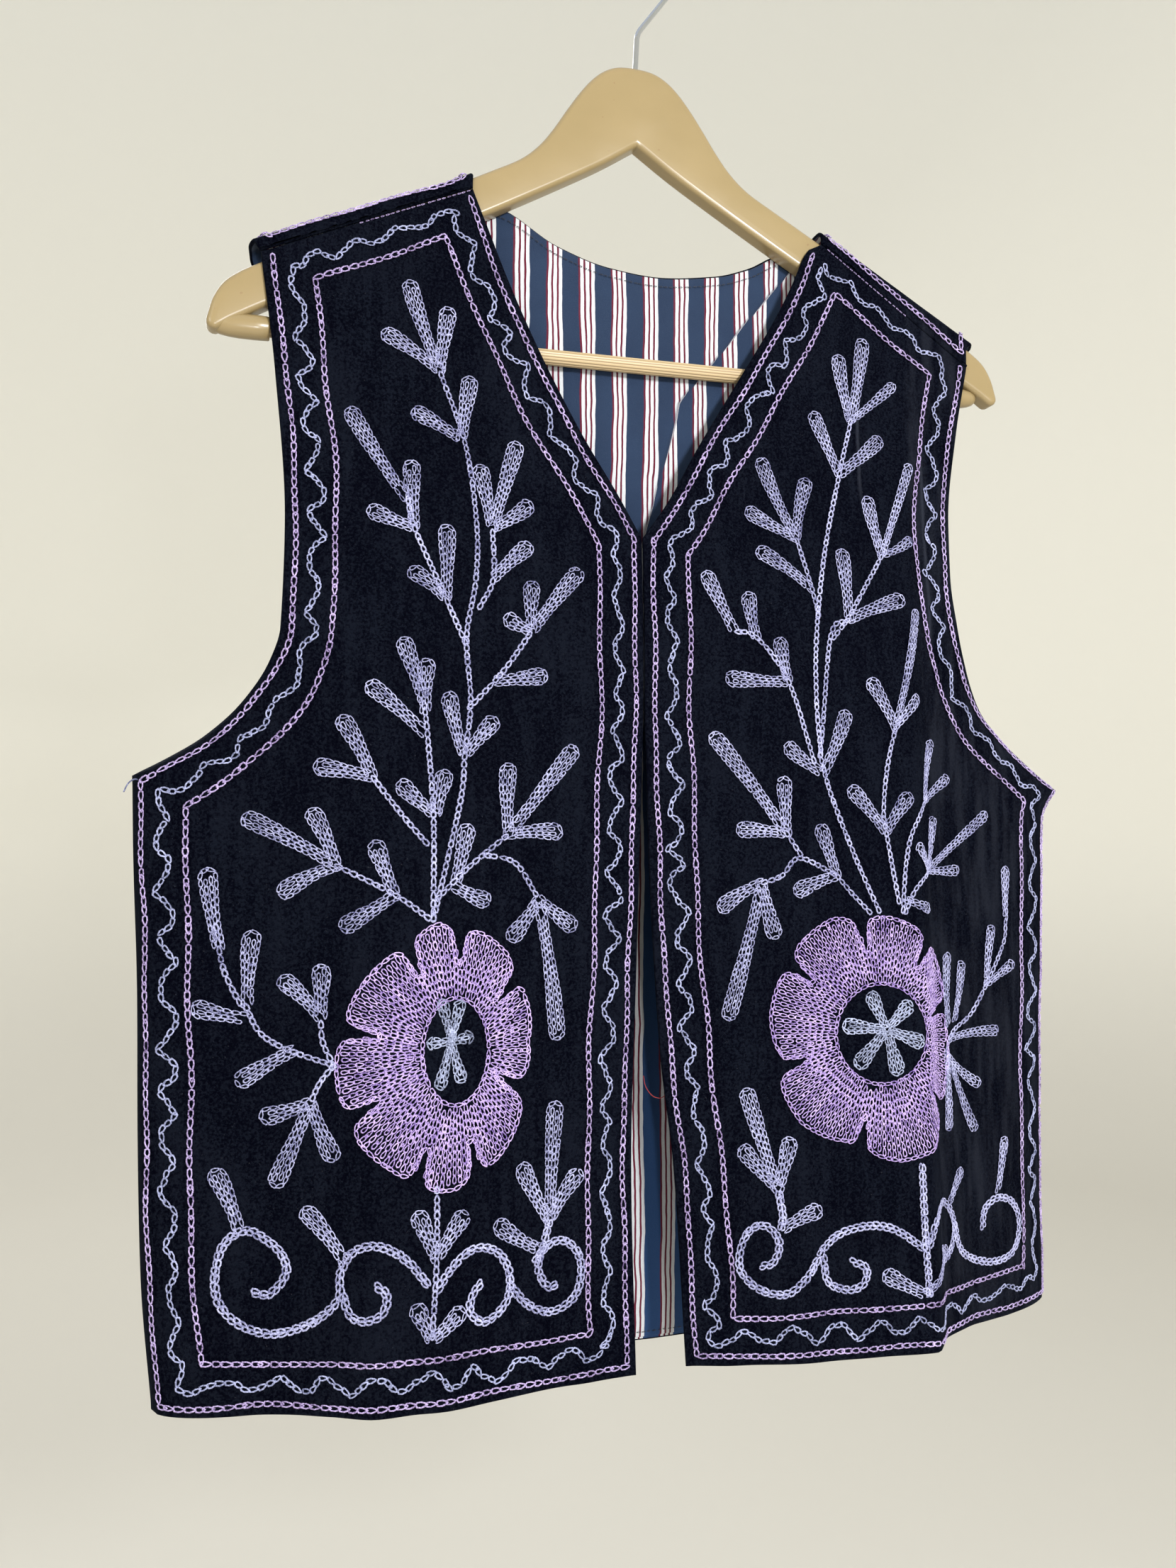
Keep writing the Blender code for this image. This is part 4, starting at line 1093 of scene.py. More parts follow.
def on_cloth(place, path, facing):
    """Points, ways and outward normals of a path laid on a form."""
    points = place(path[:, 0], path[:, 1])
    nudge = 0.4
    dx = place(path[:, 0] + nudge, path[:, 1]) - place(path[:, 0] - nudge, path[:, 1])
    dd = place(path[:, 0], path[:, 1] + nudge) - place(path[:, 0], path[:, 1] - nudge)
    normals = np.cross(dx, dd)
    normals *= facing / np.maximum(np.linalg.norm(normals, axis=1, keepdims=True), 1e-9)
    return points, normals


def stitches_along(place, path, yarn, facing, chance, shade=0.5):
    """Chain stitches at an even pitch along one row: place, way, outward, size and shade."""
    fine = resampled(path, 0.5)
    points, normals = on_cloth(place, fine, facing)
    length = lengths_along(points)
    count = max(2, round(length[-1] / yarn.pitch))
    at = (np.arange(count) + 0.5 + chance.uniform(-0.4, 0.4)) * length[-1] / count
    at = at + chance.normal(0, 0.09 * yarn.pitch, count)
    spot = np.stack([np.interp(at, length, points[:, k]) for k in range(3)], axis=1)
    out = np.stack([np.interp(at, length, normals[:, k]) for k in range(3)], axis=1)
    before = np.stack([np.interp(at - 1, length, points[:, k]) for k in range(3)], axis=1)
    after = np.stack([np.interp(at + 1, length, points[:, k]) for k in range(3)], axis=1)
    way = after - before
    way += out * 0.10 * np.linalg.norm(way, axis=1, keepdims=True)
    lift = CHAIN_LIFT * (1 + chance.normal(0, 0.08, count))
    size = np.array([yarn.length, yarn.width, yarn.height]) * (1 + chance.normal(
        0, 0.06, (count, 3)))
    shades = np.clip(shade + chance.normal(0, 0.16, count), 0, 1)
    return spot + out * lift[:, None], way, out, size, shades


def stitch_tree():
    """A Geometry Nodes tree that puts a loop of yarn on every point."""
    tree = bpy.data.node_groups.new("Chain stitch", "GeometryNodeTree")
    face = tree.interface
    face.new_socket("Places", in_out="INPUT", socket_type="NodeSocketGeometry")
    for name, value in (("Yarn radius", 0.115), ("Point end", 0.40)):
        face.new_socket(name, in_out="INPUT", socket_type="NodeSocketFloat").default_value = value
    for name, value in (("Corners", 8), ("Yarn sides", 4)):
        face.new_socket(name, in_out="INPUT", socket_type="NodeSocketInt").default_value = value
    face.new_socket("Finish", in_out="INPUT", socket_type="NodeSocketMaterial")
    face.new_socket("Stitches", in_out="OUTPUT", socket_type="NodeSocketGeometry")

    def node(kind, settings=None, **inputs):
        made = tree.nodes.new(kind)
        for name, value in (settings or {}).items():
            setattr(made, name, value)
        for name, value in inputs.items():
            socket = next(s for s in made.inputs if s.name == name.replace("_", " ")
                          and s.enabled)
            if isinstance(value, bpy.types.NodeSocket):
                tree.links.new(value, socket)
            else:
                socket.default_value = value
        return made

    def attribute(name, kind):
        made = node("GeometryNodeInputNamedAttribute", {"data_type": kind}, Name=name)
        return next(s for s in made.outputs if s.name == "Attribute" and s.enabled)

    def maths(operation, a, b=None):
        made = tree.nodes.new("ShaderNodeMath")
        made.operation = operation
        for socket, value in zip(made.inputs, (a, b)):
            if isinstance(value, bpy.types.NodeSocket):
                tree.links.new(value, socket)
            elif value is not None:
                socket.default_value = value
        return made.outputs[0]

    given = tree.nodes.new("NodeGroupInput").outputs
    ring = node("GeometryNodeCurvePrimitiveCircle", Resolution=given["Corners"], Radius=0.5)
    split = node("ShaderNodeSeparateXYZ", Vector=node("GeometryNodeInputPosition").outputs[0])
    along, across = split.outputs["X"], split.outputs["Y"]
    share = maths("ADD", along, 0.5)
    narrow = maths("ADD", given["Point end"],
                   maths("MULTIPLY", share, maths("SUBTRACT", 1.0, given["Point end"])))
    room = maths("SUBTRACT", 1.0, maths("MULTIPLY", given["Yarn radius"], 2.0))
    joined = node("ShaderNodeCombineXYZ",
                  X=maths("MULTIPLY", along, room),
                  Y=maths("MULTIPLY", maths("MULTIPLY", across, narrow), room),
                  Z=maths("MULTIPLY", maths("ABSOLUTE", across), 0.16))
    drop_shape = node("GeometryNodeSetPosition", Geometry=ring.outputs["Curve"],
                      Position=joined.outputs[0])
    section = node("GeometryNodeCurvePrimitiveCircle", Resolution=given["Yarn sides"],
                   Radius=given["Yarn radius"])
    loop = node("GeometryNodeCurveToMesh", Curve=drop_shape.outputs[0],
                Profile_Curve=section.outputs["Curve"])
    soft = node("GeometryNodeSetShadeSmooth", Geometry=loop.outputs[0])
    turned = node("FunctionNodeAxesToRotation",
                  {"primary_axis": "Z", "secondary_axis": "X"},
                  Primary_Axis=attribute("outward", "FLOAT_VECTOR"),
                  Secondary_Axis=attribute("way", "FLOAT_VECTOR"))
    placed = node("GeometryNodeInstanceOnPoints", Points=given["Places"],
                  Instance=soft.outputs[0], Rotation=turned.outputs[0],
                  Scale=attribute("size", "FLOAT_VECTOR"))
    real = node("GeometryNodeRealizeInstances", Geometry=placed.outputs[0])
    finished = node("GeometryNodeSetMaterial", Geometry=real.outputs[0],
                    Material=given["Finish"])
    outcome = tree.nodes.new("NodeGroupOutput")
    tree.links.new(finished.outputs[0], outcome.inputs[0])
    return tree


def sewn(name, tree, rows, finish, yarn):
    """A mesh of stitches from rows of (place, way, outward, size, shade), in millimetres."""
    spot, way, out, size, shade = (np.concatenate([row[k] for row in rows]) for k in range(5))
    mesh = bpy.data.meshes.new(name)
    mesh.from_pydata([tuple(v) for v in spot * MM], [], [])
    for label, kind, field, values in (("way", "FLOAT_VECTOR", "vector", way),
                                       ("outward", "FLOAT_VECTOR", "vector", out),
                                       ("size", "FLOAT_VECTOR", "vector", size * MM),
                                       ("shade", "FLOAT", "value", shade)):
        layer = mesh.attributes.new(label, kind, "POINT")
        layer.data.foreach_set(field, np.asarray(values, np.float32).ravel())
    holder = bpy.data.objects.new(name + "_places", mesh)
    bpy.context.scene.collection.objects.link(holder)
    change = holder.modifiers.new("Chain stitch", "NODES")
    change.node_group = tree
    values = {"Finish": finish, "Yarn radius": yarn.radius}
    for socket in tree.interface.items_tree:
        if socket.in_out == "INPUT" and socket.name in values:
            change[socket.identifier] = values[socket.name]
    bpy.context.view_layer.update()
    seen = holder.evaluated_get(bpy.context.evaluated_depsgraph_get())
    made = bpy.data.meshes.new_from_object(seen)
    for label in ("way", "outward", "size"):
        if label in made.attributes:
            made.attributes.remove(made.attributes[label])
    bpy.data.objects.remove(holder)
    piece = bpy.data.objects.new(name, made)
    bpy.context.scene.collection.objects.link(piece)
    return piece


def outline_of_front(front):
    """The closed cut of a front in x and drop, in steps of about a millimetre."""
    shoulder = front.shoulder
    top_in = seam_drop(shoulder, shoulder.neck_x) + GAP / 2
    top_out = seam_drop(shoulder, shoulder.tip_x) + GAP / 2
    inner = np.arange(top_in, HEM, 1.0)
    outer = np.arange(top_out, HEM, 1.0)[::-1]
    hem = np.arange(0, 1, 0.004)
    ends = front_inner_x(front, np.array(HEM)), front_outer_x(front, np.array(HEM))
    top_x = shoulder.tip_x + (shoulder.neck_x - shoulder.tip_x) * np.arange(0, 1, 0.01)
    parts = ((front_inner_x(front, inner), inner),
             (ends[0] + (ends[1] - ends[0]) * hem, np.full(len(hem), HEM)),
             (front_outer_x(front, outer), outer),
             (top_x, seam_drop(shoulder, top_x) + GAP / 2))
    return even_outline([(x, np.where(drop < top_out + 1, drop - SEAM_SHIFT * ease(
        seam_drop(shoulder, x) + 16 - drop, 0, 16), drop)) for x, drop in parts])


def outline_of_back():
    """The closed cut of the back, straps and all, in x and its drop along the cloth."""
    neck = np.linspace(RIGHT_SHOULDER.neck_x, LEFT_SHOULDER.neck_x, 200)
    seam_x = [s.neck_x + (s.tip_x - s.neck_x) * np.linspace(0, 1, 100)
              for s in (RIGHT_SHOULDER, LEFT_SHOULDER)]
    down = [np.arange(float(back_seam_drop(x[-1])), HEM, 1.0) for x in seam_x]
    hem = back_side_x(np.array(HEM))
    parts = ((neck, back_neck_drop(neck)),
             (seam_x[1], back_seam_drop(seam_x[1])),
             (back_side_x(down[1])[1], down[1]),
             (np.linspace(hem[1], hem[0], 400), np.full(400, HEM)),
             (back_side_x(down[0])[0][::-1], down[0][::-1]),
             (seam_x[0][::-1], back_seam_drop(seam_x[0])[::-1]))
    return even_outline(parts)


def even_outline(parts):
    """One closed outline from its (x, drop) parts, in steps of about a millimetre."""
    outline = np.concatenate([np.stack(part, axis=1) for part in parts])
    closed = np.vstack([outline, outline[:1]])
    return resampled(closed, 1.0)[:-1]


def stretches_below(path, limit):
    """The stretches of a path that lie below a limit drop, which may vary across."""
    kept = path[:, 1] > limit(path[:, 0])
    edges = np.flatnonzero(np.diff(kept.astype(int))) + 1
    return [part for part, on in zip(np.split(path, edges), np.split(kept, edges))
            if on[0] and len(part) > 20]


def border_rows(outline, seed):
    """The outer chain, the wave and the inner chain round one panel."""
    outer = wavering(inset_path(outline, OUTER_CHAIN), 0.6, 90, seed)
    middle = wavering(resampled(inset_path(outline, WAVE_LINE), 1.0), 0.8, 130, seed + 1)
    inner = wavering(inset_path(outline, INNER_CHAIN), 1.0, 110, seed + 2)
    return outer, wave_path(middle, seed + 3), inner


def embroider(label, place, facing, tree, finishes, outer, wave, inner):
    """The border of a panel, as its chains and its wave; each row may be several paths."""
    chance = np.random.default_rng(RANDOM_SEED + len(label))
    chains = [stitches_along(place, path, BORDER_YARN, facing, chance)
              for path in (*outer, *inner)]
    waves = [stitches_along(place, path, WAVE_YARN, facing, chance) for path in wave]
    return [sewn(f"{label}_border_chains", tree, chains, finishes["border"], BORDER_YARN),
            sewn(f"{label}_border_wave", tree, waves, finishes["wave"], WAVE_YARN)]


def embroider_motifs(label, place, tree, finishes, sprigs, stems, scrolls, flower):
    """The flower on its plant, with sprigs of leaves and two scrolls below."""
    chance = np.random.default_rng(RANDOM_SEED + 5 * len(label))

    def sew(part, paths, yarn, finish):
        rows = [stitches_along(place, path, yarn, -1, chance, 0.5 + chance.normal(0, 0.11))
                for path in paths]
        return sewn(f"{label}_{part}", tree, rows, finishes[finish], yarn)
    leaves, stalks, star = [], [], []
    for sprig in sprigs:
        for tip in sprig.tips:
            slim = SLIM if max(sprig.x, tip[0]) > SIDE_TURN else 1
            leaves += leaf_rows((sprig.x, sprig.drop), tip, chance.uniform(-LEAF_BOW, LEAF_BOW),
                                LEAF_TIP_WIDTH * slim, LEAF_BASE_WIDTH * slim)
    for stem in stems:
        stalks.append(smooth_path(stem))
    for scroll in scrolls:
        path = smooth_path(scroll)
        aside = sideways(path) * SCROLL_HALF_GAP
        stalks += [path + aside, path - aside]
    for x, drop, width in flower.star.tips:
        star += leaf_rows((flower.star.x, flower.star.drop), (x, drop), 0, width,
                          width * STAR_TAPER)
    return [sew("leaves", leaves, LEAF_YARN, "leaf"),
            sew("stems", stalks, STEM_YARN, "leaf"),
            sew("flower", flower_rows(flower), PETAL_YARN, "petal"),
            sew("flower_star", star, STAR_YARN, "star")]


# The points of a thread's end are (x, depth, drop)
ThreadEnd = namedtuple("ThreadEnd", "name finish radius points")
THREAD_ENDS = (
    ThreadEnd("pale_thread_end", "wave", 0.35,
              ((-243, -3, 471), (-246, -4, 473), (-250, -3, 472), (-253, -2, 474),
               (-255, -1, 478))),
    ThreadEnd("red_thread_end", "red thread", 0.22,
              ((-1.5, -13, 621), (-1, -15, 626), (2, -16.5, 630.5), (6, -17, 632),
               (9, -16.5, 631))))


def make_loose_threads(finishes):
    """Thread ends left hanging at an underarm and at the front opening."""
    pieces = []
    for end in THREAD_ENDS:
        path = smooth_path(np.array(end.points)[:, [0, 2, 1]], 0.8)[:, [0, 2, 1]]
        pieces.append(wire(end.name, path, end.radius, finishes[end.finish], 2))
    return pieces


def lining_face(x, drop):
    """The face of the lining that is seen inside the neck."""
    points = back_place(x, drop)
    rise = np.clip(fold_height(LINING_PUCKERS, x, drop), 0, 1.2) * ease(drop, 170, 200)
    points[..., 1] -= WALL + GAP + LINING_WALL + rise
    return points


BESIDE_SHOULDER_SEAM = 1.3             # the seam's stitches, on the front
SEAM_STITCHES = slice(1, 34)           # of 60 places from neck to tip, those with stitches
LINING_NECK_INSET, LINING_HEM_RISE = 6.5, 5.5
LINING_HEM_ENDS = (-205, 215)


def make_seams(tree, finishes):
    """The shoulder seams' fine stitches, and the dark ones along the lining's edges."""
    chance = np.random.default_rng(RANDOM_SEED)
    shoulders = []
    for front in (WEARERS_RIGHT, WEARERS_LEFT):
        s = front.shoulder
        x = np.linspace(s.neck_x, s.tip_x, 60)[SEAM_STITCHES]
        path = np.stack([x, seam_drop(s, x) + BESIDE_SHOULDER_SEAM], axis=1)
        shoulders.append(stitches_along(front_place(front), path, SEAM_YARN, -1, chance))
    x = np.linspace(RIGHT_SHOULDER.neck_x + 4, LEFT_SHOULDER.neck_x - 4, 90)
    neck = np.stack([x, back_neck_drop(x) + LINING_NECK_INSET], axis=1)
    x = np.linspace(*LINING_HEM_ENDS, 60)
    hem = np.stack([x, np.full(60, HEM - LINING_HEM_RISE)], axis=1)
    lining = [stitches_along(lining_face, path, SEAM_YARN, -1, chance) for path in (neck, hem)]
    return (sewn("shoulder_seam_stitches", tree, shoulders, finishes["border"], SEAM_YARN),
            sewn("lining_stitches", tree, lining, finishes["dark thread"], SEAM_YARN))


# The hanger

WIRE_RADIUS = 1.5
SHANK_HEIGHT, SHANK_SUNK = 20.0, 12.0
FOOT_X, BEND_X, BEND_ANGLE, BEND_ROUNDING = -3.0, -1.5, 35.5, 4.0
CROWN_RADIUS, HOOK_END_ANGLE = 20.3, 203.0


def plain_mesh(name, source, finish):
    """An object's evaluated shape as a plain mesh piece; the source is removed."""
    bpy.context.view_layer.update()
    seen = source.evaluated_get(bpy.context.evaluated_depsgraph_get())
    mesh = bpy.data.meshes.new_from_object(seen)
    bpy.data.objects.remove(source)
    mesh.name = name
    mesh.materials.clear()
    mesh.materials.append(finish)
    piece = bpy.data.objects.new(name, mesh)
    bpy.context.scene.collection.objects.link(piece)
    return piece


def wire(name, route, radius, finish, roundness=6):
    """A round wire or thread through points given in millimetres as (x, depth, drop)."""
    curve = bpy.data.curves.new(name, "CURVE")
    curve.dimensions = "3D"
    curve.bevel_depth = radius * MM
    curve.bevel_resolution = roundness
    curve.use_fill_caps = True
    line = curve.splines.new("POLY")
    line.points.add(len(route) - 1)
    for spot, (x, depth, drop) in zip(line.points, route):
        spot.co = (x * MM, depth * MM, -drop * MM, 1)
    holder = bpy.data.objects.new(name + "_line", curve)
    bpy.context.scene.collection.objects.link(holder)
    piece = plain_mesh(name, holder, finish)
    shape = bmesh.new()
    shape.from_mesh(piece.data)
    bmesh.ops.recalc_face_normals(shape, faces=shape.faces)
    shape.to_mesh(piece.data)
    shape.free()
    piece.data.shade_smooth()
    piece.data.set_sharp_from_angle(angle=math.radians(60))
    return piece


def make_hook(finish):
    """The hook's wire, from inside the board, through its bend and round the crown."""
    lean = math.radians(BEND_ANGLE)
    bend = Vector((BEND_X, -HOOK_RISE + SHANK_HEIGHT))
    foot = Vector((FOOT_X, -HOOK_RISE - SHANK_SUNK))
    centre = Vector((0, -CROWN_RADIUS))
    radius = CROWN_RADIUS + WIRE_RADIUS
    before = bend + (foot - bend).normalized() * BEND_ROUNDING
    after = bend + Vector((math.sin(lean), math.cos(lean))) * BEND_ROUNDING
    points = [foot]
    for s in np.linspace(0, 1, 9):
        points.append(before * (1 - s) ** 2 + bend * 2 * s * (1 - s) + after * s * s)
    for degrees in np.linspace(-BEND_ANGLE, HOOK_END_ANGLE, 84):
        angle = math.radians(degrees)
        points.append(centre + radius * Vector((math.cos(angle), math.sin(angle))))
    return wire("steel_hook", [(p.x, 0, -p.y) for p in points], WIRE_RADIUS, finish)


BOARD_THICKNESS, BOARD_ROUND = 11.0, 2.6
BOARD_STEP = 1.8               # between points of its outline
CORNER_INWARD = (0.0, 1.2)     # way into the board at its inner corner, where the arms meet


def make_board(finish):
    """The hanger's board: one smooth outline, its edges rounded front and back."""
    around = [BOARD_INNER_CORNER, *[(-x, z) for x, z in BOARD_HALF[:0:-1]], *BOARD_HALF,
              BOARD_INNER_CORNER]
    outline = smooth_path(around, BOARD_STEP)
    along = np.gradient(outline, axis=0)
    along /= np.linalg.norm(along, axis=1, keepdims=True)
    inward = np.stack([along[:, 1], -along[:, 0]], axis=1)
    outline, inward = outline[:-1], inward[:-1]
    inward[0] = CORNER_INWARD
    rings = []
    for side in (-1, 1):
        for degrees in (90, 72, 54, 36, 18, 0)[::-side]:
            angle = math.radians(degrees)
            inset = BOARD_ROUND * (1 - math.cos(angle))
            depth = side * (BOARD_THICKNESS / 2 - BOARD_ROUND * (1 - math.sin(angle)))
            rings.append((outline + inward * inset, depth))
    vertices = []
    for points, depth in rings:
        drop, x = board_to_world(points[:, 0], points[:, 1])
        vertices += [(a * MM, depth * MM, -d * MM) for a, d in zip(x, drop)]
    count = len(outline)
    faces = [(a + k, a + (k + 1) % count, a + count + (k + 1) % count, a + count + k)
             for a in range(0, count * (len(rings) - 1), count) for k in range(count)]
    last = count * (len(rings) - 1)
    faces += [tuple(range(count))[::-1], tuple(range(last, last + count))]
    piece = smooth_piece("lacquered_board", vertices, faces, (finish,))
    piece.data.set_sharp_from_angle(angle=math.radians(40))
    return piece


# (distance from the board's middle, radius) of the socket round each end of the bar
SOCKET_PROFILE = ((192.8, 4.2), (192.8, 5.5), (193.4, 5.8), (200, 5.9), (207, 5.8), (212, 5.4),
                  (216, 4.7), (219, 3.6), (220.6, 2.2), (221.2, 0.6))
SOCKET_DROP = 164.5
SOCKET_SHIFT = -11.0          # the +X socket sits further in


def make_sockets(finish):
    """The rounded ends of the board's tips, which hold the bar."""
    sides = 32
    vertices, faces = [], []
    for side, shift in ((-1, 0), (1, SOCKET_SHIFT)):
        start = len(vertices)
        for x, radius in SOCKET_PROFILE:
            for a in np.linspace(0, 2 * math.pi, sides, endpoint=False):
                vertices.append(((side * x + shift) * MM, radius * math.cos(a) * MM,
                                 (radius * math.sin(a) - SOCKET_DROP) * MM))
        rings = len(SOCKET_PROFILE)
        for ring in range(rings - 1):
            a, b = start + ring * sides, start + (ring + 1) * sides
            faces += [(a + k, a + (k + 1) % sides, b + (k + 1) % sides, b + k)
                      for k in range(sides)]
        last = start + (rings - 1) * sides
        faces += [tuple(range(start, start + sides)), tuple(range(last, last + sides))]
    piece = smooth_piece("bar_sockets", vertices, faces, (finish,))
    tilt = Matrix.Rotation(math.radians(BOARD_TILT), 4, "Y")
    piece.data.transform(Matrix.Translation((BOARD_X * MM, 0, -HOOK_RISE * MM)) @ tilt)
    piece.data.set_sharp_from_angle(angle=math.radians(50))
    return piece


# Studio and camera

PICTURE_WIDTH, PICTURE_HEIGHT = 1659, 2212
FOCAL_PIXELS = 1661.5
SENSOR = 36.0
CAMERA_PLACE = (-0.2080, -0.5902, -0.4977)
CAMERA_YAW, CAMERA_PITCH = 16.97, 2.52     # degrees
CAMERA_ROLL = 0.00365                      # radians

FLOOR_LEVEL = -1.30
STAGE_SIDES = 96
FLAT_RADIUS, COVE_RADIUS = 2.4, 0.9        # the level floor, and its curve up to the backdrop
BACKDROP_RADIUS, BACKDROP_HEIGHTS = 3.3, (2.2, 4.6)
SKY_COLOUR, SKY_STRENGTH = (0.90, 0.945, 1.0, 1), 0.78

Light = namedtuple("Light", "name place aim size watts colour")
LIGHTS = (
    Light("Key", (0.32, -1.35, -0.08), (0, 0, -0.4), 0.22, 21, (0.94, 0.965, 1.0)),
    Light("Low", (-0.06, -1.3, -0.62), (0, 0, -0.6), 0.12, 5, (0.94, 0.965, 1.0)),
    Light("Fill", (-1.9, -1.9, 0.3), (0, 0, -0.4), 1.6, 24, (0.92, 0.96, 1.0)),
    Light("Rear", (-0.6, 2.4, 1.2), (0, 0, -0.4), 1.6, 28, (0.97, 0.98, 1.0)))


def make_camera():
    """The camera, level with the chest, close in front and a little to the left."""
    yaw, pitch, roll = math.radians(CAMERA_YAW), math.radians(CAMERA_PITCH), CAMERA_ROLL
    ahead = Vector((math.sin(yaw) * math.cos(pitch), math.cos(yaw) * math.cos(pitch),
                    math.sin(pitch)))
    level = Vector((math.cos(yaw), -math.sin(yaw), 0))
    upright = level.cross(ahead)
    right = level * math.cos(roll) + upright * math.sin(roll)
    up = upright * math.cos(roll) - level * math.sin(roll)
    data = bpy.data.cameras.new("Camera")
    data.sensor_width = SENSOR
    data.lens = FOCAL_PIXELS * SENSOR / max(PICTURE_WIDTH, PICTURE_HEIGHT)
    data.clip_start = 0.02
    camera = bpy.data.objects.new("Camera", data)
    turn = Matrix((right, up, -ahead)).transposed().to_4x4()
    camera.matrix_world = Matrix.Translation(CAMERA_PLACE) @ turn
    bpy.context.scene.collection.objects.link(camera)
    bpy.context.scene.camera = camera
    bpy.context.scene.view_settings.view_transform = "Standard"


def make_light(light):
    """A round area light that faces its aim."""
    data = bpy.data.lights.new(light.name, "AREA")
    data.shape = "DISK"
    data.size = light.size
    data.energy = light.watts
    data.color = light.colour
    lamp = bpy.data.objects.new(light.name, data)
    lamp.location = light.place
    facing = Vector(light.aim) - Vector(light.place)
    lamp.rotation_euler = facing.to_track_quat("-Z", "Y").to_euler()
    bpy.context.scene.collection.objects.link(lamp)


def make_studio():
    """A pale floor that curves up into a backdrop all round, with painted shade darkening it low
    down, and soft light.
    """
    profile = [(0.0, 0.0), (1.0, 0.0), (2.0, 0.0)]
    for degrees in range(0, 91, 6):
        angle = math.radians(degrees)
        profile.append((FLAT_RADIUS + COVE_RADIUS * math.sin(angle),
                        COVE_RADIUS - COVE_RADIUS * math.cos(angle)))
    profile += [(BACKDROP_RADIUS, height) for height in BACKDROP_HEIGHTS]
    sides = STAGE_SIDES
    vertices = [(0, 0, FLOOR_LEVEL)]
    for radius, height in profile[1:]:
        for a in np.linspace(0, 2 * math.pi, sides, endpoint=False):
            vertices.append((radius * math.cos(a), radius * math.sin(a), FLOOR_LEVEL + height))
    faces = [(0, 1 + k, 1 + (k + 1) % sides) for k in range(sides)]
    for ring in range(len(profile) - 2):
        start = 1 + ring * sides
        faces += [(start + k, start + sides + k, start + sides + (k + 1) % sides,
                   start + (k + 1) % sides) for k in range(sides)]
    paper = Finish("floor_paper", Roughness=0.9)
    # painted shade: the paper is darker on the floor and grows paler up the backdrop
    low = paper.blend((0.63, 0.60, 0.535), (0.65, 0.62, 0.555), paper.noise(1.5, 2))
    tone = paper.blend(low, (0.93, 0.90, 0.815), paper.z.over(FLOOR_LEVEL - 0.05, 1.0))
    mesh = bpy.data.meshes.new("floor")
    mesh.from_pydata(vertices, [], faces)
    mesh.materials.append(paper.feed(Base_Color=tone))
    mesh.shade_smooth()
    floor = bpy.data.objects.new("floor", mesh)
    bpy.context.scene.collection.objects.link(floor)
    world = bpy.data.worlds.new("Soft daylight")
    bpy.context.scene.world = world
    world.use_nodes = True
    sky = world.node_tree.nodes["Background"].inputs
    sky["Color"].default_value = SKY_COLOUR
    sky["Strength"].default_value = SKY_STRENGTH
    for light in LIGHTS:
        make_light(light)


# The scene

# Flat sizes of the sheets of cloth, in metres and square metres
Cut = namedtuple("Cut", "width length area")

BORDER_FROM_SEAM = 3.5     # a front's outer chain starts this far below its shoulder seam
BORDER_FROM_CREST = 12     # and the back's wave and inner chain below the crest of the fold


def ride_and_replace(piece, slot=None, *nodes):
    """Let a piece ride the one body, and hide the CAD's nodes that it stands for; its slot is not
    used.
    """
    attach(piece, "root")
    if nodes:
        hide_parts(*nodes)


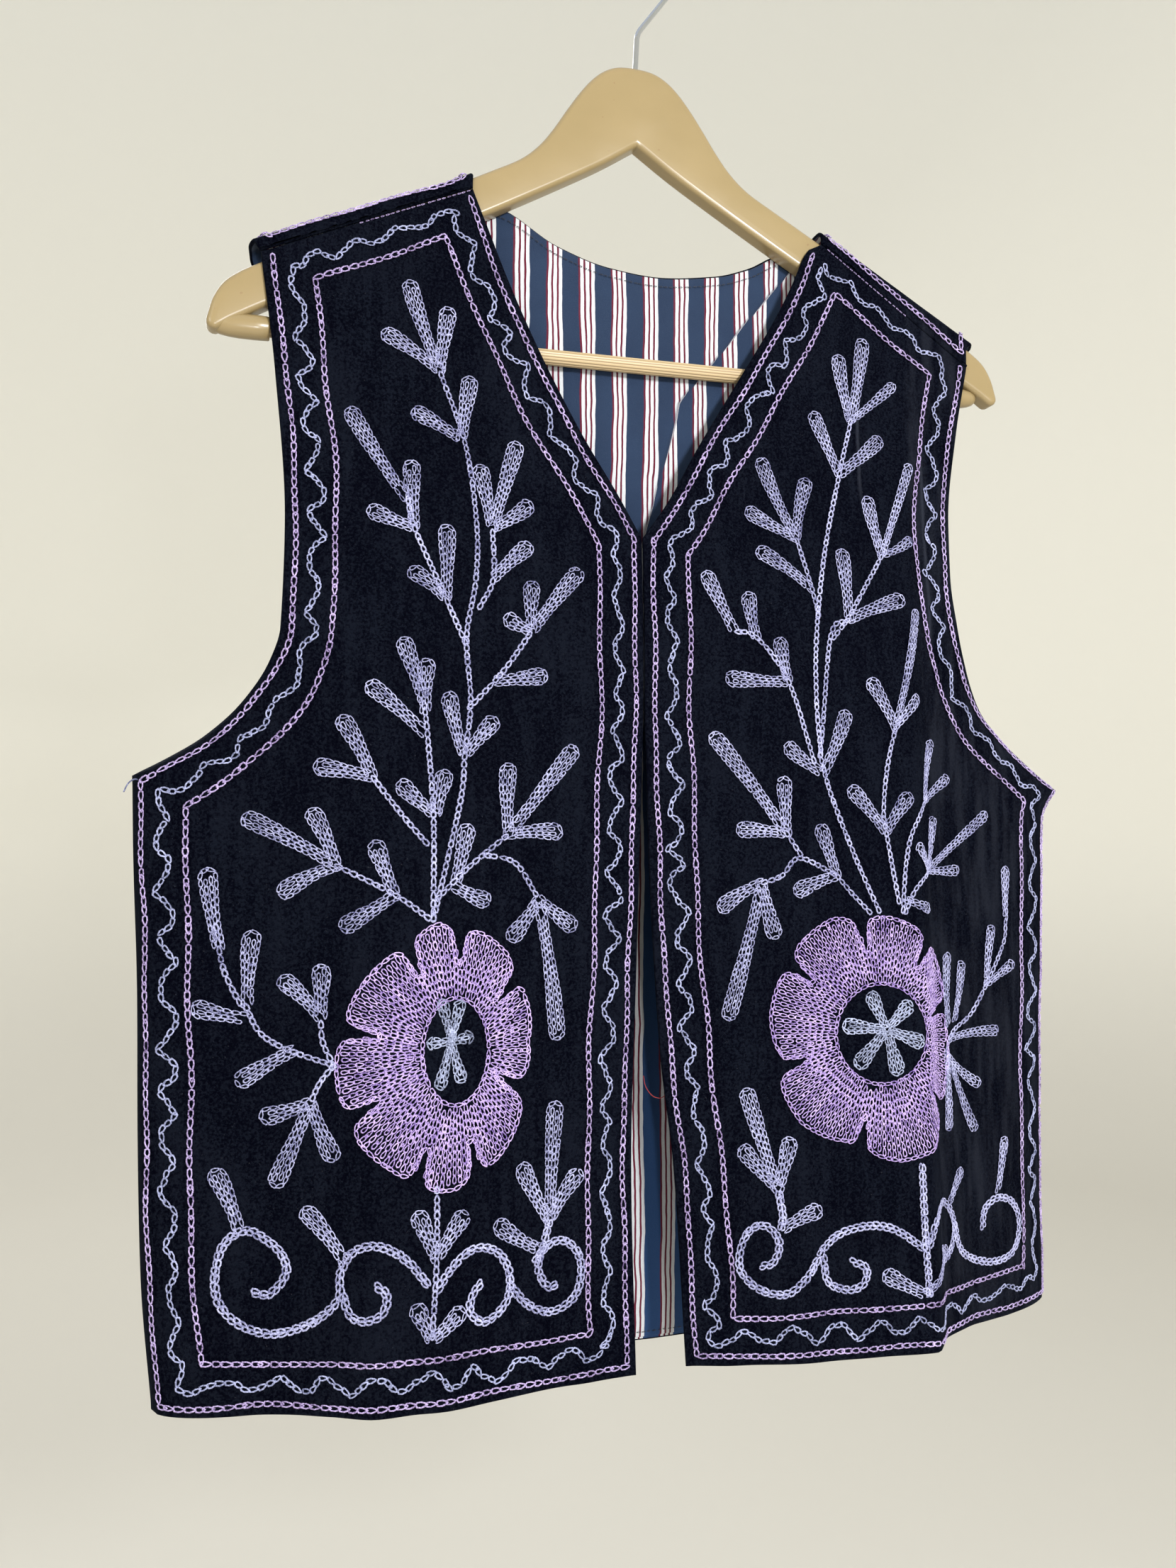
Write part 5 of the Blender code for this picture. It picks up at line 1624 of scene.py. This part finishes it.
def main():
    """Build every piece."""
    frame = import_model()
    make_camera()
    make_studio()
    velvet, cotton = velvet_finish(), cotton_finish()
    finishes = {
        "border": yarn_finish("mauve_yarn", (0.10, 0.06, 0.16), (0.70, 0.56, 0.90)),
        "wave": yarn_finish("grey_lilac_yarn", (0.08, 0.09, 0.17), (0.55, 0.57, 0.83)),
        "leaf": yarn_finish("lavender_yarn", (0.08, 0.08, 0.19), (0.62, 0.62, 0.88)),
        "petal": yarn_finish("pink_violet_yarn", (0.14, 0.075, 0.31), (0.79, 0.60, 0.97)),
        "star": yarn_finish("silver_yarn", (0.08, 0.09, 0.15), (0.58, 0.62, 0.84)),
        "dark thread": thread_finish("navy_thread", (0.010, 0.012, 0.022)),
        "red thread": thread_finish("red_thread", (0.30, 0.02, 0.02)),
    }
    right = make_front("velvet_front_right", WEARERS_RIGHT, 1, (velvet, cotton))
    left = make_front("velvet_front_left", WEARERS_LEFT, -1, (velvet, cotton))
    back, lining = make_back((velvet, cotton))
    tree = stitch_tree()

    sewn_on = {}
    for label, front, plan in (
            ("right", WEARERS_RIGHT, (RIGHT_SPRIGS, RIGHT_STEMS, RIGHT_SCROLLS, RIGHT_FLOWER)),
            ("left", WEARERS_LEFT, (LEFT_SPRIGS, LEFT_STEMS, LEFT_SCROLLS, LEFT_FLOWER))):
        place = front_place(front)
        outer, wave, inner = border_rows(outline_of_front(front), RANDOM_SEED + len(label))
        outer = stretches_below(
            outer, lambda x: seam_drop(front.shoulder, x) + BORDER_FROM_SEAM)
        sewn_on[label] = embroider(label, place, -1, tree, finishes, outer, [wave], [inner])
        sewn_on[label] += embroider_motifs(label, place, tree, finishes, *plan)
    outer, wave, inner = border_rows(outline_of_back(), RANDOM_SEED)
    wave, inner = (stretches_below(path, lambda x: crest_drop(x) + BORDER_FROM_CREST)
                   for path in (wave, inner))
    sewn_on["back"] = embroider("back", back_place, 1, tree, finishes, [outer], wave, inner)
    shoulder_seams, lining_seams = make_seams(tree, finishes)

    lacquer = lacquer_finish()
    board, sockets = make_board(lacquer), make_sockets(lacquer)
    hook = make_hook(steel_finish())
    frame["nodes"]["hanger_bar"].material_slots[0].material = bar_finish()

    ride_and_replace(right, "velvet", "front_right")
    ride_and_replace(left, "velvet", "front_left")
    ride_and_replace(back, "velvet", "back")
    ride_and_replace(lining, "striped_cotton", "back_lining")
    ride_and_replace(hook, "hook_steel", "hanger_hook")
    ride_and_replace(board, "lacquered_board", "hanger_board")
    ride_and_replace(sockets, "lacquered_board")
    threads = make_loose_threads(finishes)
    for piece in (*sewn_on["right"], *sewn_on["left"], *sewn_on["back"], shoulder_seams,
                  lining_seams, *threads):
        ride_and_replace(piece)


main()
